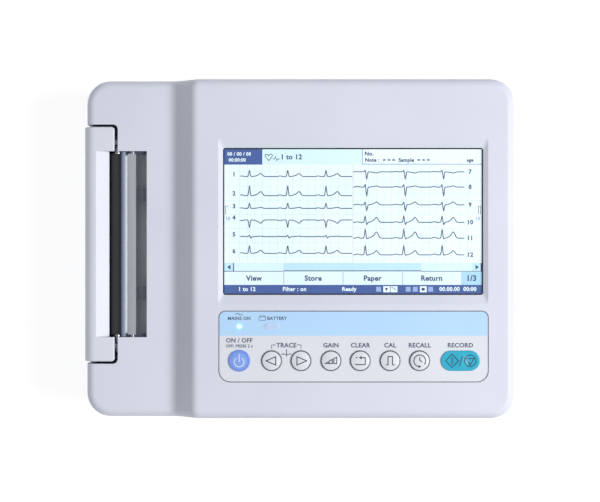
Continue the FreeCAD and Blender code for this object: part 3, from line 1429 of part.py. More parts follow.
# Patient connector: a fifteen-way socket in its recess, with two jack nuts
shell_face = patient_face + d.patient_shell
shell_x = (flange_x[0], shell_face)
shell_body = prism("shell_body", "x", patient_outline(as_size(0), shell_corner), shell_x)
flange_half_width = 19.5
flange_half_tall = 6.2
shell_flange_y = spread(d.patient_at, flange_half_width)
shell_flange_z = spread(d.socket_height, flange_half_tall)
shell_flange = box("shell_flange", flange_x, shell_flange_y, shell_flange_z)
shell_wall = 0.5
insert_outline = patient_outline(as_size(-shell_wall), shell_corner - shell_wall)
hollow_outline = patient_outline(d.tight - shell_wall, shell_corner - shell_wall)
shell_hollow = prism("shell_hollow", "x", hollow_outline, grown(shell_x, 1))
jack_drill_x = grown(flange_x, 1)
jack_drills = [rod(f"jack_drill_{i}", "x", spot, d.jack_bore + d.slack, jack_drill_x)
               for i, spot in enumerate(jack_spots)]
node(cut("patient_connector", fuse("shell_solid", shell_body, shell_flange), shell_hollow, *jack_drills))
insert_tail = 8.0
insert_x = (flange_x[0] - insert_tail, shell_face - shell_wall)
contact_radius = as_size(0.6)
contact_x = (patient_face, shell_face + 1)
nut_across = 4.8
nut_length = 5.0
contact_pitch = 2.77
contact_row = 1.42
contacts = []
for row, count in ((1, 8), (-1, 7)):
    for k in range(count):
        y = d.patient_at + contact_pitch * (k - (count - 1) / 2)
        spot = (y, d.socket_height + contact_row * row)
        contacts.append(rod(f"contact_{count}_{k}", "x", spot, contact_radius, contact_x))
node(cut("patient_insert", prism("insert_blank", "x", insert_outline, insert_x), *contacts))
nut_x = (patient_face, patient_face + nut_length)
jack_nuts = []
for i, (y, z) in enumerate(jack_spots):
    head = prism(f"jack_head_{i}", "x", hexagon(y, z, nut_across), nut_x)
    stem_x = (flange_x[0] - 2, nut_x[0] + 1)
    stem = rod(f"jack_stem_{i}", "x", (y, z), d.jack_bore + d.slack - d.tight, stem_x)
    thread = rod(f"jack_thread_{i}", "x", (y, z), d.jack_bore, (flange_x[0] - 3, nut_x[1] + 1))
    jack_nuts.append(cut(f"jack_nut_{i}", fuse(f"jack_solid_{i}", head, stem), thread))
node(group("jack_nuts", *jack_nuts))

# Loudspeaker over the slots in the floor
basket_top = floor_top + 3
magnet_radius = d.speaker_radius - 5
speaker_basket = rod("speaker_basket", "z", speaker_spot, d.speaker_radius, (floor_top, basket_top))
speaker_magnet = rod("speaker_magnet", "z", speaker_spot, magnet_radius, (basket_top, basket_top + 4))
node(fuse("loudspeaker", speaker_basket, speaker_magnet))

# Screws that hold the boards, the bracket, the printer frame and the motor
screws = []
pan_head = 1.6


def small_screw(spot, seat, tip):
    """A pan-head screw with its head on the seat and its shank down to the tip, or up to it."""
    index = len(screws)
    upward = tip.value > seat.value
    head_z = (seat - pan_head, seat) if upward else (seat, seat + pan_head)
    shank_z = (seat - pan_head, tip) if upward else (tip, seat + pan_head)
    head = rod(f"pan_head_{index}", "z", spot, d.screw_head, head_z)
    shank = rod(f"pan_shank_{index}", "z", spot, d.screw_radius, shank_z)
    screws.append(fuse(f"pan_screw_{index}", head, shank))


for x, y, seat, tip in board_screw_spots:
    small_screw((x, y), seat, tip)
for spot in bracket_spots:
    small_screw(spot, bracket_z[0], bracket_z[1] + machine_screw_bite)
for spot in keypad_spots:
    small_screw(spot, keypad_z[0], keypad_z[1] + machine_screw_bite)
for spot in frame_screw_spots:
    small_screw(spot, base_z[1], base_z[0] - d.screw_bite)
for spot in motor_screw_spots:
    small_screw(spot, motor_foot_z[1], motor_foot_z[0] - d.screw_bite)
node(group("small_screws", *screws))

# Build everything, refuse anything that failed, and write one file for each piece
doc.recompute()
failed = [thing.Label for thing in doc.Objects if {"Invalid", "Error"} & set(thing.State)]
for label, piece in nodes.items():
    shape = getattr(piece, "Shape", None)
    if shape is None or shape.isNull() or not shape.isValid() or not shape.Solids:
        failed.append(label)
if failed:
    raise RuntimeError("pieces that failed: " + ", ".join(failed))
os.makedirs("parts", exist_ok=True)
for label, piece in nodes.items():
    piece.Shape.exportStep(f"parts/{label}.step")
print(len(nodes), "pieces")
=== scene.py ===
import math

import bmesh
import bpy
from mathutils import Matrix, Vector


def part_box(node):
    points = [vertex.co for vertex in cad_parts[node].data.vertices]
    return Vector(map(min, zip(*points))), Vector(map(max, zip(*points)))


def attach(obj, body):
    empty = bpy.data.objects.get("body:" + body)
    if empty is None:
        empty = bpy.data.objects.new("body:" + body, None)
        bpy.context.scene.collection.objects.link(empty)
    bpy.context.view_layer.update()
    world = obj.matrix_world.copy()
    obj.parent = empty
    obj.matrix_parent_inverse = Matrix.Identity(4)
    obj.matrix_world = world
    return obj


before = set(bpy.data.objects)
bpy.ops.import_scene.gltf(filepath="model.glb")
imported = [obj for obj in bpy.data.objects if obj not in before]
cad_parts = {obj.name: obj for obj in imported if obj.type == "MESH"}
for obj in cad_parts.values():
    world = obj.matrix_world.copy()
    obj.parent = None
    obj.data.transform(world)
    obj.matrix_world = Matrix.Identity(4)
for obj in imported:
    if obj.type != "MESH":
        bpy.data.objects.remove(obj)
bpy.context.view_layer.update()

# The lower case: a tray moulded in pale cool grey plastic, with the battery cover in its floor.
# Its outside has a fine even spark texture; six screws from below close it to the upper case.
MM = 0.001
DEEP_UNTIL = 0.3
PALE_FROM = 0.7
DRIFT_DETAIL = 3
GRAIN_DETAIL = 2
GRAIN_STRENGTH = 0.6


def tinted(name, pale, deep, patch, rough, grain, depth, stretch=(1, 1, 1), **sockets):
    """A finish that drifts between two tones with a fine grain; patch, grain and depth in mm."""
    material = bpy.data.materials.new(name)
    material.use_nodes = True
    nodes = material.node_tree.nodes
    links = material.node_tree.links
    shader = nodes["Principled BSDF"]
    place = nodes.new("ShaderNodeTexCoord")
    pull = nodes.new("ShaderNodeMapping")
    pull.inputs["Scale"].default_value = stretch
    links.new(place.outputs["Object"], pull.inputs["Vector"])
    drift = nodes.new("ShaderNodeTexNoise")
    drift.inputs["Scale"].default_value = 1 / (patch * MM)
    drift.inputs["Detail"].default_value = DRIFT_DETAIL
    links.new(pull.outputs["Vector"], drift.inputs["Vector"])
    tones = nodes.new("ShaderNodeValToRGB")
    tones.color_ramp.elements[0].position = DEEP_UNTIL
    tones.color_ramp.elements[0].color = (*deep, 1)
    tones.color_ramp.elements[1].position = PALE_FROM
    tones.color_ramp.elements[1].color = (*pale, 1)
    links.new(drift.outputs["Fac"], tones.inputs["Fac"])
    links.new(tones.outputs["Color"], shader.inputs["Base Color"])
    spark = nodes.new("ShaderNodeTexNoise")
    spark.inputs["Scale"].default_value = 1 / (grain * MM)
    spark.inputs["Detail"].default_value = GRAIN_DETAIL
    links.new(pull.outputs["Vector"], spark.inputs["Vector"])
    gloss = nodes.new("ShaderNodeMapRange")
    gloss.inputs["To Min"].default_value = rough[0]
    gloss.inputs["To Max"].default_value = rough[1]
    links.new(spark.outputs["Fac"], gloss.inputs["Value"])
    links.new(gloss.outputs["Result"], shader.inputs["Roughness"])
    bump = nodes.new("ShaderNodeBump")
    bump.inputs["Distance"].default_value = depth * MM
    bump.inputs["Strength"].default_value = GRAIN_STRENGTH
    links.new(spark.outputs["Fac"], bump.inputs["Height"])
    links.new(bump.outputs["Normal"], shader.inputs["Normal"])
    for socket, value in sockets.items():
        shader.inputs[socket.replace("_", " ")].default_value = value
    return material


def finish(material, *names):
    """Gives pieces of the CAD model a finish."""
    for name in names:
        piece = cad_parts[name]
        if not piece.material_slots:
            piece.data.materials.append(material)
        for held in piece.material_slots:
            held.material = material


base_grey = tinted(
    "base_grey", (0.60, 0.62, 0.71), (0.57, 0.59, 0.68), 60, (0.48, 0.60), 0.45, 0.02
)
finish(base_grey, "lower_case", "battery_cover")

# Feet, screws and battery: moulded rubber discs pressed into the floor, zinc plated screws,
# and a block of cells in a printed shrink sleeve behind its cover.
foot_rubber = tinted(
    "foot_rubber", (0.030, 0.030, 0.033), (0.018, 0.018, 0.020), 6, (0.7, 0.9), 0.25, 0.03
)
zinc = tinted(
    "zinc_plate", (0.58, 0.59, 0.60), (0.42, 0.43, 0.45), 3, (0.28, 0.45), 0.3, 0.01, Metallic=1.0
)
sleeve_blue = tinted(
    "battery_sleeve", (0.06, 0.11, 0.32), (0.045, 0.085, 0.26), 15, (0.25, 0.4), 1.5, 0.02
)
finish(foot_rubber, "rubber_feet")
finish(zinc, "case_screws", "cover_screws", "small_screws")
finish(sleeve_blue, "battery_pack")

# Boards: green glass-fibre sheets with black moulded packages, held on the case's standoffs,
# and the loudspeaker over its slots in the floor.
solder_mask = tinted(
    "solder_mask", (0.030, 0.20, 0.085), (0.012, 0.11, 0.05), 2.5, (0.25, 0.5), 0.8, 0.02
)
package_black = tinted(
    "package_black", (0.030, 0.030, 0.032), (0.018, 0.018, 0.020), 4, (0.5, 0.7), 0.2, 0.01
)
finish(solder_mask, "main_board", "power_board", "amp_board", "socket_board", "keypad_board")
finish(package_black, "main_board_parts", "power_board_parts", "push_switches", "loudspeaker")

# Sockets: a black mains inlet with plated blades, steel shells for the network, data and patient
# connectors, and an earth stud turned from brass and nickel plated.
socket_black = tinted(
    "socket_black", (0.022, 0.022, 0.024), (0.014, 0.014, 0.016), 8, (0.35, 0.5), 0.3, 0.01
)
nickel = tinted(
    "nickel_plate", (0.72, 0.69, 0.62), (0.62, 0.59, 0.53), 2, (0.18, 0.3), 0.15, 0.004,
    Metallic=1.0,
)
tin = tinted(
    "tinned_shell", (0.62, 0.63, 0.64), (0.5, 0.51, 0.53), 3, (0.25, 0.4), 0.25, 0.006, Metallic=1.0
)
finish(socket_black, "mains_inlet", "patient_insert")
finish(nickel, "inlet_blades", "earth_stud", "jack_nuts")
finish(tin, "lan_socket", "usb_socket", "patient_connector")

# Printer: a black moulded frame and paper tray, a ceramic print head on an aluminium heat sink
# pushed by leaf springs, and a can motor that drives black acetal gears.
frame_black = tinted(
    "frame_black", (0.024, 0.024, 0.026), (0.015, 0.015, 0.017), 12, (0.5, 0.65), 0.3, 0.02
)
ceramic = tinted(
    "head_ceramic", (0.90, 0.91, 0.92), (0.86, 0.87, 0.89), 5, (0.2, 0.32), 0.4, 0.004
)
milled = tinted(
    "milled_aluminium", (0.66, 0.67, 0.69), (0.55, 0.56, 0.58), 4, (0.28, 0.42), 0.25, 0.01,
    stretch=(1, 0.04, 1), Metallic=1.0,
)
bright_steel = tinted(
    "bright_steel", (0.58, 0.58, 0.59), (0.46, 0.46, 0.48), 2, (0.2, 0.34), 0.15, 0.005,
    stretch=(1, 0.05, 1), Metallic=1.0,
)
blued_steel = tinted(
    "blued_steel", (0.084, 0.085, 0.090), (0.070, 0.071, 0.076), 2, (0.35, 0.5), 0.15, 0.005
)
brass = tinted(
    "turned_brass", (0.72, 0.53, 0.22), (0.60, 0.43, 0.17), 2, (0.22, 0.36), 0.15, 0.005,
    Metallic=1.0,
)
acetal = tinted(
    "gear_acetal", (0.050, 0.050, 0.054), (0.038, 0.038, 0.042), 5, (0.35, 0.48), 0.3, 0.006
)
finish(frame_black, "printer_frame", "paper_tray")
finish(ceramic, "thermal_head")
finish(milled, "head_heat_sink")
finish(blued_steel, "head_springs")
finish(bright_steel, "motor_shaft", "idler_stud", "hinge_pins", "platen_shaft")
finish(zinc, "feed_motor", "motor_bracket")
finish(brass, "motor_pinion")
finish(acetal, "idler_gear", "platen_gear", "platen_bushes")

# Paper: a full roll of coated thermal paper wound on a card tube. It is dropped loose into the
# tray, and turns there as the platen draws on it.
paper_white = tinted(
    "thermal_paper", (0.75, 0.74, 0.73), (0.69, 0.68, 0.67), 3, (0.5, 0.65), 0.2, 0.01,
    stretch=(1, 0.1, 1),
)
card_brown = tinted(
    "card_tube", (0.42, 0.32, 0.22), (0.34, 0.25, 0.17), 3, (0.75, 0.9), 0.4, 0.03
)
finish(paper_white, "paper_roll")
finish(card_brown, "roll_core")

# Paper door: the same plastic as the case, on two hinge pins, with the ground rubber platen
# turning in it and a smooth ramp that lifts the paper out. Its colour is painted a little lighter
# than the case's, as painted light on its ramp.
door_grey_painted_light = tinted(
    "door_grey_painted_light", (0.69, 0.71, 0.79), (0.66, 0.68, 0.765), 60, (0.42, 0.54), 0.45, 0.015
)
platen_rubber = tinted(
    "platen_rubber", (0.026, 0.027, 0.030), (0.018, 0.019, 0.021), 3, (0.6, 0.8), 0.12, 0.01,
    stretch=(1, 6, 1),
)
finish(door_grey_painted_light, "paper_door")
finish(platen_rubber, "platen_roller")

# Upper case and printer window: the stepped lid of the machine, moulded in grey plastic and held
# by the screws from below, and a clear strip with a rounded front, set in over the print head.
# The strip's colour carries painted shade: it is darker and less clear over its rounded front, for
# the refraction there, and painted lighter further in.
case_grey = tinted(
    "case_grey", (0.66, 0.68, 0.77), (0.63, 0.65, 0.745), 60, (0.46, 0.58), 0.45, 0.02
)
clear_strip = tinted(
    "clear_strip", (0.47, 0.54, 0.72), (0.44, 0.51, 0.69), 20, (0.03, 0.07), 1.0, 0.002,
    IOR=1.49, Specular_IOR_Level=0.35,
)
FRONT_COVER = 0.66
INNER_COVER = 0.03
COVER_RUN = (1.6 * MM, 3.4 * MM)
FRONT_PAINTED_SHADE = 0.45
INNER_PAINTED_LIGHT = 1.4
PAINTED_SHADE_RUN = (0.4 * MM, 2.6 * MM)
window_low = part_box("printer_window")[0].x
window_nodes = clear_strip.node_tree.nodes
window_links = clear_strip.node_tree.links
window_shader = window_nodes["Principled BSDF"]
window_place = window_nodes.new("ShaderNodeTexCoord")
window_parts = window_nodes.new("ShaderNodeSeparateXYZ")
window_links.new(window_place.outputs["Object"], window_parts.inputs["Vector"])


def window_run(run, front, inner):
    """A value that goes from one at the strip's rounded front to another further in."""
    change = window_nodes.new("ShaderNodeMapRange")
    change.inputs["From Min"].default_value = window_low + run[0]
    change.inputs["From Max"].default_value = window_low + run[1]
    change.inputs["To Min"].default_value = front
    change.inputs["To Max"].default_value = inner
    window_links.new(window_parts.outputs["X"], change.inputs["Value"])
    return change.outputs["Result"]


window_links.new(window_run(COVER_RUN, FRONT_COVER, INNER_COVER), window_shader.inputs["Alpha"])
# Painted shade and light: the strip's colour is scaled darker at its rounded front and lighter
# further in.
painted_shade_scale = window_nodes.new("ShaderNodeVectorMath")
painted_shade_scale.operation = "SCALE"
window_links.new(window_nodes["Color Ramp"].outputs["Color"], painted_shade_scale.inputs["Vector"])
window_links.new(window_run(PAINTED_SHADE_RUN, FRONT_PAINTED_SHADE, INNER_PAINTED_LIGHT), painted_shade_scale.inputs["Scale"])
window_links.new(painted_shade_scale.outputs["Vector"], window_shader.inputs["Base Color"])
finish(case_grey, "upper_case")
finish(clear_strip, "printer_window")

# Display: a touch glass with a black printed edge over a colour display module on a steel
# bracket. The picture is drawn in the display's own dots, as the machine would draw it.
INK = 0.02 * MM
WELD = 1e-7
FILM_CUTS = 2
SHARPEST_TURN = 0.5
GLASS_BORDER = 4.0 * MM
DOTS_WIDE = 800
DOTS_TALL = 480
PICTURE_EDGE = 0.8 * MM
black_glass = tinted(
    "black_glass", (0.012, 0.013, 0.016), (0.008, 0.009, 0.011), 30, (0.06, 0.1), 2.0, 0.001,
    Coat_Weight=0.5,
)
finish(black_glass, "touch_panel")
finish(package_black, "lcd_module")
finish(zinc, "lcd_bracket")
glass_low, glass_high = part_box("touch_panel")
picture_left = glass_low.x + GLASS_BORDER + PICTURE_EDGE
picture_right = glass_high.x - GLASS_BORDER - PICTURE_EDGE
picture_front = glass_low.y + GLASS_BORDER + PICTURE_EDGE
picture_back = glass_high.y - GLASS_BORDER - PICTURE_EDGE
dot_wide = (picture_right - picture_left) / DOTS_WIDE
dot_tall = (picture_back - picture_front) / DOTS_TALL


def hung(name, mesh, material, body):
    """A mesh in one finish as a piece of its own that moves with a body."""
    mesh.materials.append(material)
    piece = bpy.data.objects.new(name, mesh)
    bpy.context.scene.collection.objects.link(piece)
    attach(piece, body)
    return piece


def laid(name, shape, material, body):
    """A drawn shape, welded and with its faces turned out, as a piece of its own."""
    bmesh.ops.remove_doubles(shape, verts=shape.verts, dist=WELD)
    bmesh.ops.recalc_face_normals(shape, faces=shape.faces)
    mesh = bpy.data.meshes.new(name)
    shape.to_mesh(mesh)
    shape.free()
    return hung(name, mesh, material, body)


def film(name, outlines, height, material, body, lift=None):
    """Flat shapes in metres laid at a height as one thin film, or over a swell given by lift."""
    shape = bmesh.new()
    for outline in outlines:
        shape.faces.new([shape.verts.new((x, y, height)) for x, y in outline])
    bmesh.ops.remove_doubles(shape, verts=shape.verts, dist=WELD)
    if lift:
        bmesh.ops.subdivide_edges(
            shape, edges=shape.edges[:], cuts=FILM_CUTS, use_grid_fill=True
        )
    raised = bmesh.ops.extrude_face_region(shape, geom=shape.faces[:])["geom"]
    tops = [part for part in raised if isinstance(part, bmesh.types.BMVert)]
    bmesh.ops.translate(shape, verts=tops, vec=(0, 0, INK))
    if lift:
        for vert in shape.verts:
            vert.co.z += lift(vert.co.x, vert.co.y)
    return laid(name, shape, material, body)


def ribbon(points, width, closed=False):
    """The outlines of a line of one width drawn through points."""
    count = len(points)
    sides = []
    for i, (x, y) in enumerate(points):
        back = points[i - 1] if closed or i > 0 else (x, y)
        ahead = points[(i + 1) % count] if closed or i + 1 < count else (x, y)
        into = math.atan2(y - back[1], x - back[0]) if back != (x, y) else None
        away = math.atan2(ahead[1] - y, ahead[0] - x) if ahead != (x, y) else None
        into = away if into is None else into
        away = into if away is None else away
        half_turn = math.remainder(away - into, 2 * math.pi) / 2
        reach = width / 2 / max(math.cos(half_turn), SHARPEST_TURN)
        angle = into + half_turn + math.pi / 2
        shift = (reach * math.cos(angle), reach * math.sin(angle))
        sides.append(((x + shift[0], y + shift[1]), (x - shift[0], y - shift[1])))
    pairs = zip(sides, sides[1:] + sides[:1]) if closed else zip(sides, sides[1:])
    return [[a[1], b[1], b[0], a[0]] for a, b in pairs]


def lit(name, pale, deep, glow):
    """A picture colour: the dots' own light, with the faint unevenness of the backlight."""
    material = tinted(name, pale, deep, 25, (0.42, 0.50), 0.4, 0.0005, Specular_IOR_Level=0.25)
    shader = material.node_tree.nodes["Principled BSDF"]
    tones = material.node_tree.nodes["Color Ramp"]
    material.node_tree.links.new(tones.outputs["Color"], shader.inputs["Emission Color"])
    shader.inputs["Emission Strength"].default_value = glow
    return material


GLOW = 0.28
dots_white = lit("dots_white", (0.68, 0.77, 0.78), (0.64, 0.76, 0.78), GLOW)
dots_pale = lit("dots_pale", (0.57, 0.73, 0.77), (0.53, 0.71, 0.77), GLOW)
dots_frost = lit("dots_frost", (0.63, 0.75, 0.78), (0.58, 0.73, 0.77), GLOW)
dots_sky = lit("dots_sky", (0.35, 0.57, 0.74), (0.32, 0.54, 0.72), GLOW)
dots_haze = lit("dots_haze", (0.44, 0.65, 0.76), (0.41, 0.62, 0.75), GLOW)
dots_mist = lit("dots_mist", (0.30, 0.38, 0.62), (0.26, 0.34, 0.58), GLOW)
dots_navy = lit("dots_navy", (0.060, 0.105, 0.29), (0.052, 0.095, 0.27), GLOW)
dots_slate = lit("dots_slate", (0.040, 0.065, 0.165), (0.032, 0.055, 0.145), GLOW)
dots_grid = lit("dots_grid", (0.50, 0.64, 0.69), (0.46, 0.61, 0.67), GLOW)
dots_sand = lit("dots_sand", (0.66, 0.62, 0.54), (0.64, 0.60, 0.51), GLOW)
PICTURE_LAYER = 0.03 * MM


def dots(x, y):
    """A place on the picture, counted in dots from its top left corner."""
    return (picture_left + x * dot_wide, picture_back - y * dot_tall)


def patch(x0, y0, x1, y1):
    """A rectangle on the picture, from its top left dot to its bottom right one."""
    return [dots(x0, y0), dots(x0, y1), dots(x1, y1), dots(x1, y0)]


def picture(name, outlines, layer, material):
    """Shapes of one colour on the picture, laid over those of the layers below."""
    height = glass_high.z + layer * PICTURE_LAYER
    return film(name, outlines, height, material, "case")


def trace_line(points, width):
    """A line on the picture; its points and its width are in dots."""
    return ribbon([dots(x, y) for x, y in points], width * dot_wide)


HEAD_ROW = 51
TRACE_END = 378
SCROLL_END = 408
KEYS_END = 451
DATE_END = 118
NOTE_START = 428
MIDDLE = 398.5
DIVIDER = 1.5
RULE = 3
THIN_RULE = 2
GRID_LINE = 1
picture("picture_field", [patch(0, 0, DOTS_WIDE, DOTS_TALL)], 1, dots_white)
picture("picture_title", [patch(DATE_END, 0, NOTE_START, HEAD_ROW)], 2, dots_pale)
blue_bars = [patch(0, 0, DATE_END, HEAD_ROW), patch(0, KEYS_END, DOTS_WIDE, DOTS_TALL)]
picture("picture_blue", blue_bars, 2, dots_navy)
GRID_STEP = 23.6
grid_rows = [HEAD_ROW + GRID_STEP * k for k in range(1, 14)]
grid_columns = [GRID_STEP * k for k in range(2, 33)]
across = [patch(0, y, DOTS_WIDE, y + GRID_LINE) for y in grid_rows]
down = [patch(x, HEAD_ROW, x + GRID_LINE, TRACE_END) for x in grid_columns]
picture("picture_grid_across", across, 2, dots_grid)
picture("picture_grid_down", down, 2, dots_grid)
divider = patch(MIDDLE, HEAD_ROW, MIDDLE + DIVIDER, TRACE_END)
picture("picture_divider", [divider], 3, dots_sand)
note_lines = [
    patch(NOTE_START, HEAD_ROW - RULE, DOTS_WIDE, HEAD_ROW),
    patch(NOTE_START, 0, NOTE_START + RULE, HEAD_ROW - RULE),
]
picture("picture_note_lines", note_lines, 2, dots_mist)
THUMB = (184, 612)
SCROLL_KEY = 30
SCROLL_FOOT = SCROLL_END - RULE
THUMB_FOOT = SCROLL_END - 5
KEY_EDGE = 1
soft_edges = [0, 184, 368, 553, 736]
soft_pairs = list(zip(soft_edges, soft_edges[1:]))
scroll_ways = [
    patch(SCROLL_KEY, TRACE_END, THUMB[0], SCROLL_FOOT),
    patch(THUMB[1], TRACE_END, DOTS_WIDE - SCROLL_KEY, SCROLL_FOOT),
]
picture("picture_scroll", scroll_ways, 2, dots_pale)
picture("picture_thumb", [patch(THUMB[0], TRACE_END, THUMB[1], THUMB_FOOT)], 2, dots_haze)
page_key = patch(soft_edges[-1], SCROLL_END, DOTS_WIDE, KEYS_END)
picture("picture_page_key", [page_key], 2, dots_sky)
soft_top = SCROLL_END + KEY_EDGE
soft_keys = [patch(a + THIN_RULE, soft_top, b, KEYS_END - KEY_EDGE) for a, b in soft_pairs]
picture("picture_soft_keys", soft_keys, 2, dots_frost)
key_lines = [patch(x, SCROLL_END, x + THIN_RULE, KEYS_END) for x in soft_edges[1:-1]]
picture("picture_key_lines", key_lines, 3, dots_mist)
scroll_keys = [
    patch(0, TRACE_END, SCROLL_KEY - RULE, SCROLL_FOOT),
    patch(DOTS_WIDE - SCROLL_KEY, TRACE_END, DOTS_WIDE - RULE, SCROLL_FOOT),
]
picture("picture_scroll_keys", scroll_keys, 2, dots_haze)
rules = [
    patch(THUMB[0], THUMB_FOOT, THUMB[1], THUMB_FOOT + RULE),
    patch(SCROLL_KEY - RULE, TRACE_END, SCROLL_KEY, SCROLL_FOOT),
    patch(DOTS_WIDE - RULE, TRACE_END, DOTS_WIDE, SCROLL_FOOT),
    patch(0, SCROLL_FOOT, THUMB[0], SCROLL_FOOT + THIN_RULE),
    patch(THUMB[1], SCROLL_FOOT, DOTS_WIDE, SCROLL_FOOT + THIN_RULE),
]
ARROW_TIP = 9
ARROW_TAIL = 19
ARROW_HALF = 8
arrow_mid = (TRACE_END + SCROLL_END - THIN_RULE) / 2
for tip, tail in ((ARROW_TIP, ARROW_TAIL), (DOTS_WIDE - ARROW_TIP, DOTS_WIDE - ARROW_TAIL)):
    low, high = dots(tail, arrow_mid + ARROW_HALF), dots(tail, arrow_mid - ARROW_HALF)
    rules.append([dots(tip, arrow_mid), low, high])
picture("picture_rules", rules, 3, dots_slate)


def beat(t, waves):
    """The height of one heart beat, in dots, at a time t measured in dots from its main spike."""
    return sum(height * math.exp(-(((t - at) / width) ** 2)) for at, width, height in waves)


def heart_waves(p, r, s, t):
    """The waves of one beat: each has its place, its width and its height, in dots."""
    return [(-24, 6, p), (0, 2.6, r), (4.5, 2.6, s), (25, 9, 0.3 * t), (35.5, 7, 0.9 * t)]


LEFT_TRACES = [
    (90.6, heart_waves(2, 21, 0, 10)),
    (154.4, heart_waves(3, 34, -1, 14)),
    (196.8, heart_waves(2, 18, 0, 4)),
    (235.0, heart_waves(-2, -26, 0, -11)),
    (290.8, heart_waves(1, 5, -5, 2)),
    (346.2, heart_waves(2, 26, 0, 10)),
]
RIGHT_TRACES = [
    (75.0, heart_waves(1, 6, -25, -4)),
    (125.8, heart_waves(2, 10, -32, 4)),
    (184.9, heart_waves(2, 10, -21, 10)),
    (243.3, heart_waves(2, 23, -8, 17)),
    (295.8, heart_waves(3, 32, -3, 21)),
    (351.2, heart_waves(3, 33, -2, 14)),
]
LEFT_BEATS = (78, 197, 316)
RIGHT_BEATS = (438, 558, 677)
TRACE_STEP = 1.5
TRACE_WIDTH = 2.7
LEFT_SPAN = (49, MIDDLE - 1)
RIGHT_SPAN = (MIDDLE + 2, 746)


def draw_traces(name, rows, beats, start, end):
    """Traces one below another, each with its base row and the waves of its beats."""
    outlines = []
    for base, waves in rows:
        steps = int((end - start) / TRACE_STEP)
        points = []
        for k in range(steps + 1):
            x = start + (end - start) * k / steps
            points.append((x, base - sum(beat(x - at, waves) for at in beats)))
        outlines += trace_line(points, TRACE_WIDTH)
    return picture(name, outlines, 3, dots_slate)


draw_traces("picture_traces_left", LEFT_TRACES, LEFT_BEATS, *LEFT_SPAN)
draw_traces("picture_traces_right", RIGHT_TRACES, RIGHT_BEATS, *RIGHT_SPAN)
CAPITAL_SHARE = 0.7
BOLD = 0.045
SPACING = 1.06
LETTER_STEPS = 3


def lettering(name, words, height, material, body):
    """Words or numbers set flat on a surface, each with its middle, letter height and text."""
    meshes = []
    for k, (x, y, tall, text) in enumerate(words):
        curve = bpy.data.curves.new(f"{name}_{k}", "FONT")
        curve.body = text
        curve.size = tall / CAPITAL_SHARE
        curve.align_x = "CENTER"
        curve.align_y = "CENTER"
        curve.resolution_u = LETTER_STEPS
        curve.extrude = INK / 2
        curve.offset = tall * BOLD
        curve.space_character = SPACING
        holder = bpy.data.objects.new(f"{name}_{k}", curve)
        bpy.context.scene.collection.objects.link(holder)
        bpy.context.view_layer.update()
        ready = holder.evaluated_get(bpy.context.evaluated_depsgraph_get())
        mesh = bpy.data.meshes.new_from_object(ready)
        for vertex in mesh.vertices:
            vertex.co.x += x
            vertex.co.y += y
            vertex.co.z += height + INK / 2
        meshes.append(mesh)
        bpy.data.objects.remove(holder)
    joined = bmesh.new()
    for mesh in meshes:
        joined.from_mesh(mesh)
    whole = bpy.data.meshes.new(name)
    joined.to_mesh(whole)
    joined.free()
    whole.materials.clear()
    return hung(name, whole, material, body)


def picture_words(name, words, layer, material):
    """Words on the picture; their middles and heights are in dots."""
    placed = [(*dots(x, y), tall * dot_tall, text) for x, y, tall, text in words]
    height = glass_high.z + layer * PICTURE_LAYER
    return lettering(name, placed, height, material, "case")


SOFT_MID = (SCROLL_END + KEYS_END) / 2
STATUS_MID = (KEYS_END + DOTS_TALL) / 2
LEFT_NUMBERS = 30
RIGHT_NUMBERS = 764
NUMBER_TALL = 14
NUMBER_LIFT = 7
SOFT_TALL = 17
STATUS_TALL = 13
soft_middles = [(a + b) / 2 for a, b in soft_pairs]
soft_words = ("View", "Store", "Paper", "Return")
plain_words = []
for k, row in enumerate(LEFT_TRACES):
    plain_words.append((LEFT_NUMBERS, row[0] - NUMBER_LIFT, NUMBER_TALL, str(k + 1)))
for k, row in enumerate(RIGHT_TRACES):
    number = str(k + 1 + len(LEFT_TRACES))
    plain_words.append((RIGHT_NUMBERS, row[0], NUMBER_TALL, number))
plain_words.append((768, SOFT_MID, 18, "1/3"))
plain_words += [(x, SOFT_MID, SOFT_TALL, word) for x, word in zip(soft_middles, soft_words)]
plain_words += [
    (208, 26, 16, "1 to 12"),
    (450, 15, 13, "No."),
    (538, 36, 12, "Note :  = = =  Sample  = = ="),
    (764, 36, 11, "age"),
]
picture_words("picture_words", plain_words, 3, dots_slate)
status_words = [
    (46, 16, 11, "00 / 00 / 00"),
    (40, 36, 11, "00:00:00"),
    (70, STATUS_MID, STATUS_TALL, "1 to 12"),
    (218, STATUS_MID, STATUS_TALL, "Filter : on"),
    (388, STATUS_MID, STATUS_TALL, "Ready"),
    (726, STATUS_MID, STATUS_TALL, "00.00.00  00:00"),
]
picture_words("picture_status_words", status_words, 3, dots_white)
HEART_AT = (138, 25)
HEART_HALF = 11.5
HEART_STEPS = 24
SIGN_WIDTH = 2
heart = []
for k in range(HEART_STEPS):
    turn = 2 * math.pi * k / HEART_STEPS
    drop = -9.5 * math.cos(turn) + 5 * math.cos(2 * turn) + 1.5 * math.cos(3 * turn)
    heart.append(dots(HEART_AT[0] + HEART_HALF * math.sin(turn) ** 3, HEART_AT[1] + drop))
pulse = [(150, 32), (156, 32), (159, 24), (163, 38), (166, 32), (172, 32)]
signs = ribbon(heart, SIGN_WIDTH * dot_wide, closed=True) + trace_line(pulse, SIGN_WIDTH)
picture("picture_heart", signs, 3, dots_slate)
SCALE_TOP = 189
SCALE_FOOT = 216
SCALE_WIDTH = 1.5
half_step = [(3.5, SCALE_FOOT), (3.5, SCALE_TOP), (12, SCALE_TOP)]
whole_step = [(790, SCALE_FOOT), (790, SCALE_TOP), (796, SCALE_TOP), (796, SCALE_FOOT)]
scale_marks = trace_line(half_step, SCALE_WIDTH) + trace_line(whole_step, SCALE_WIDTH)
picture("picture_scale_marks", scale_marks, 3, dots_slate)
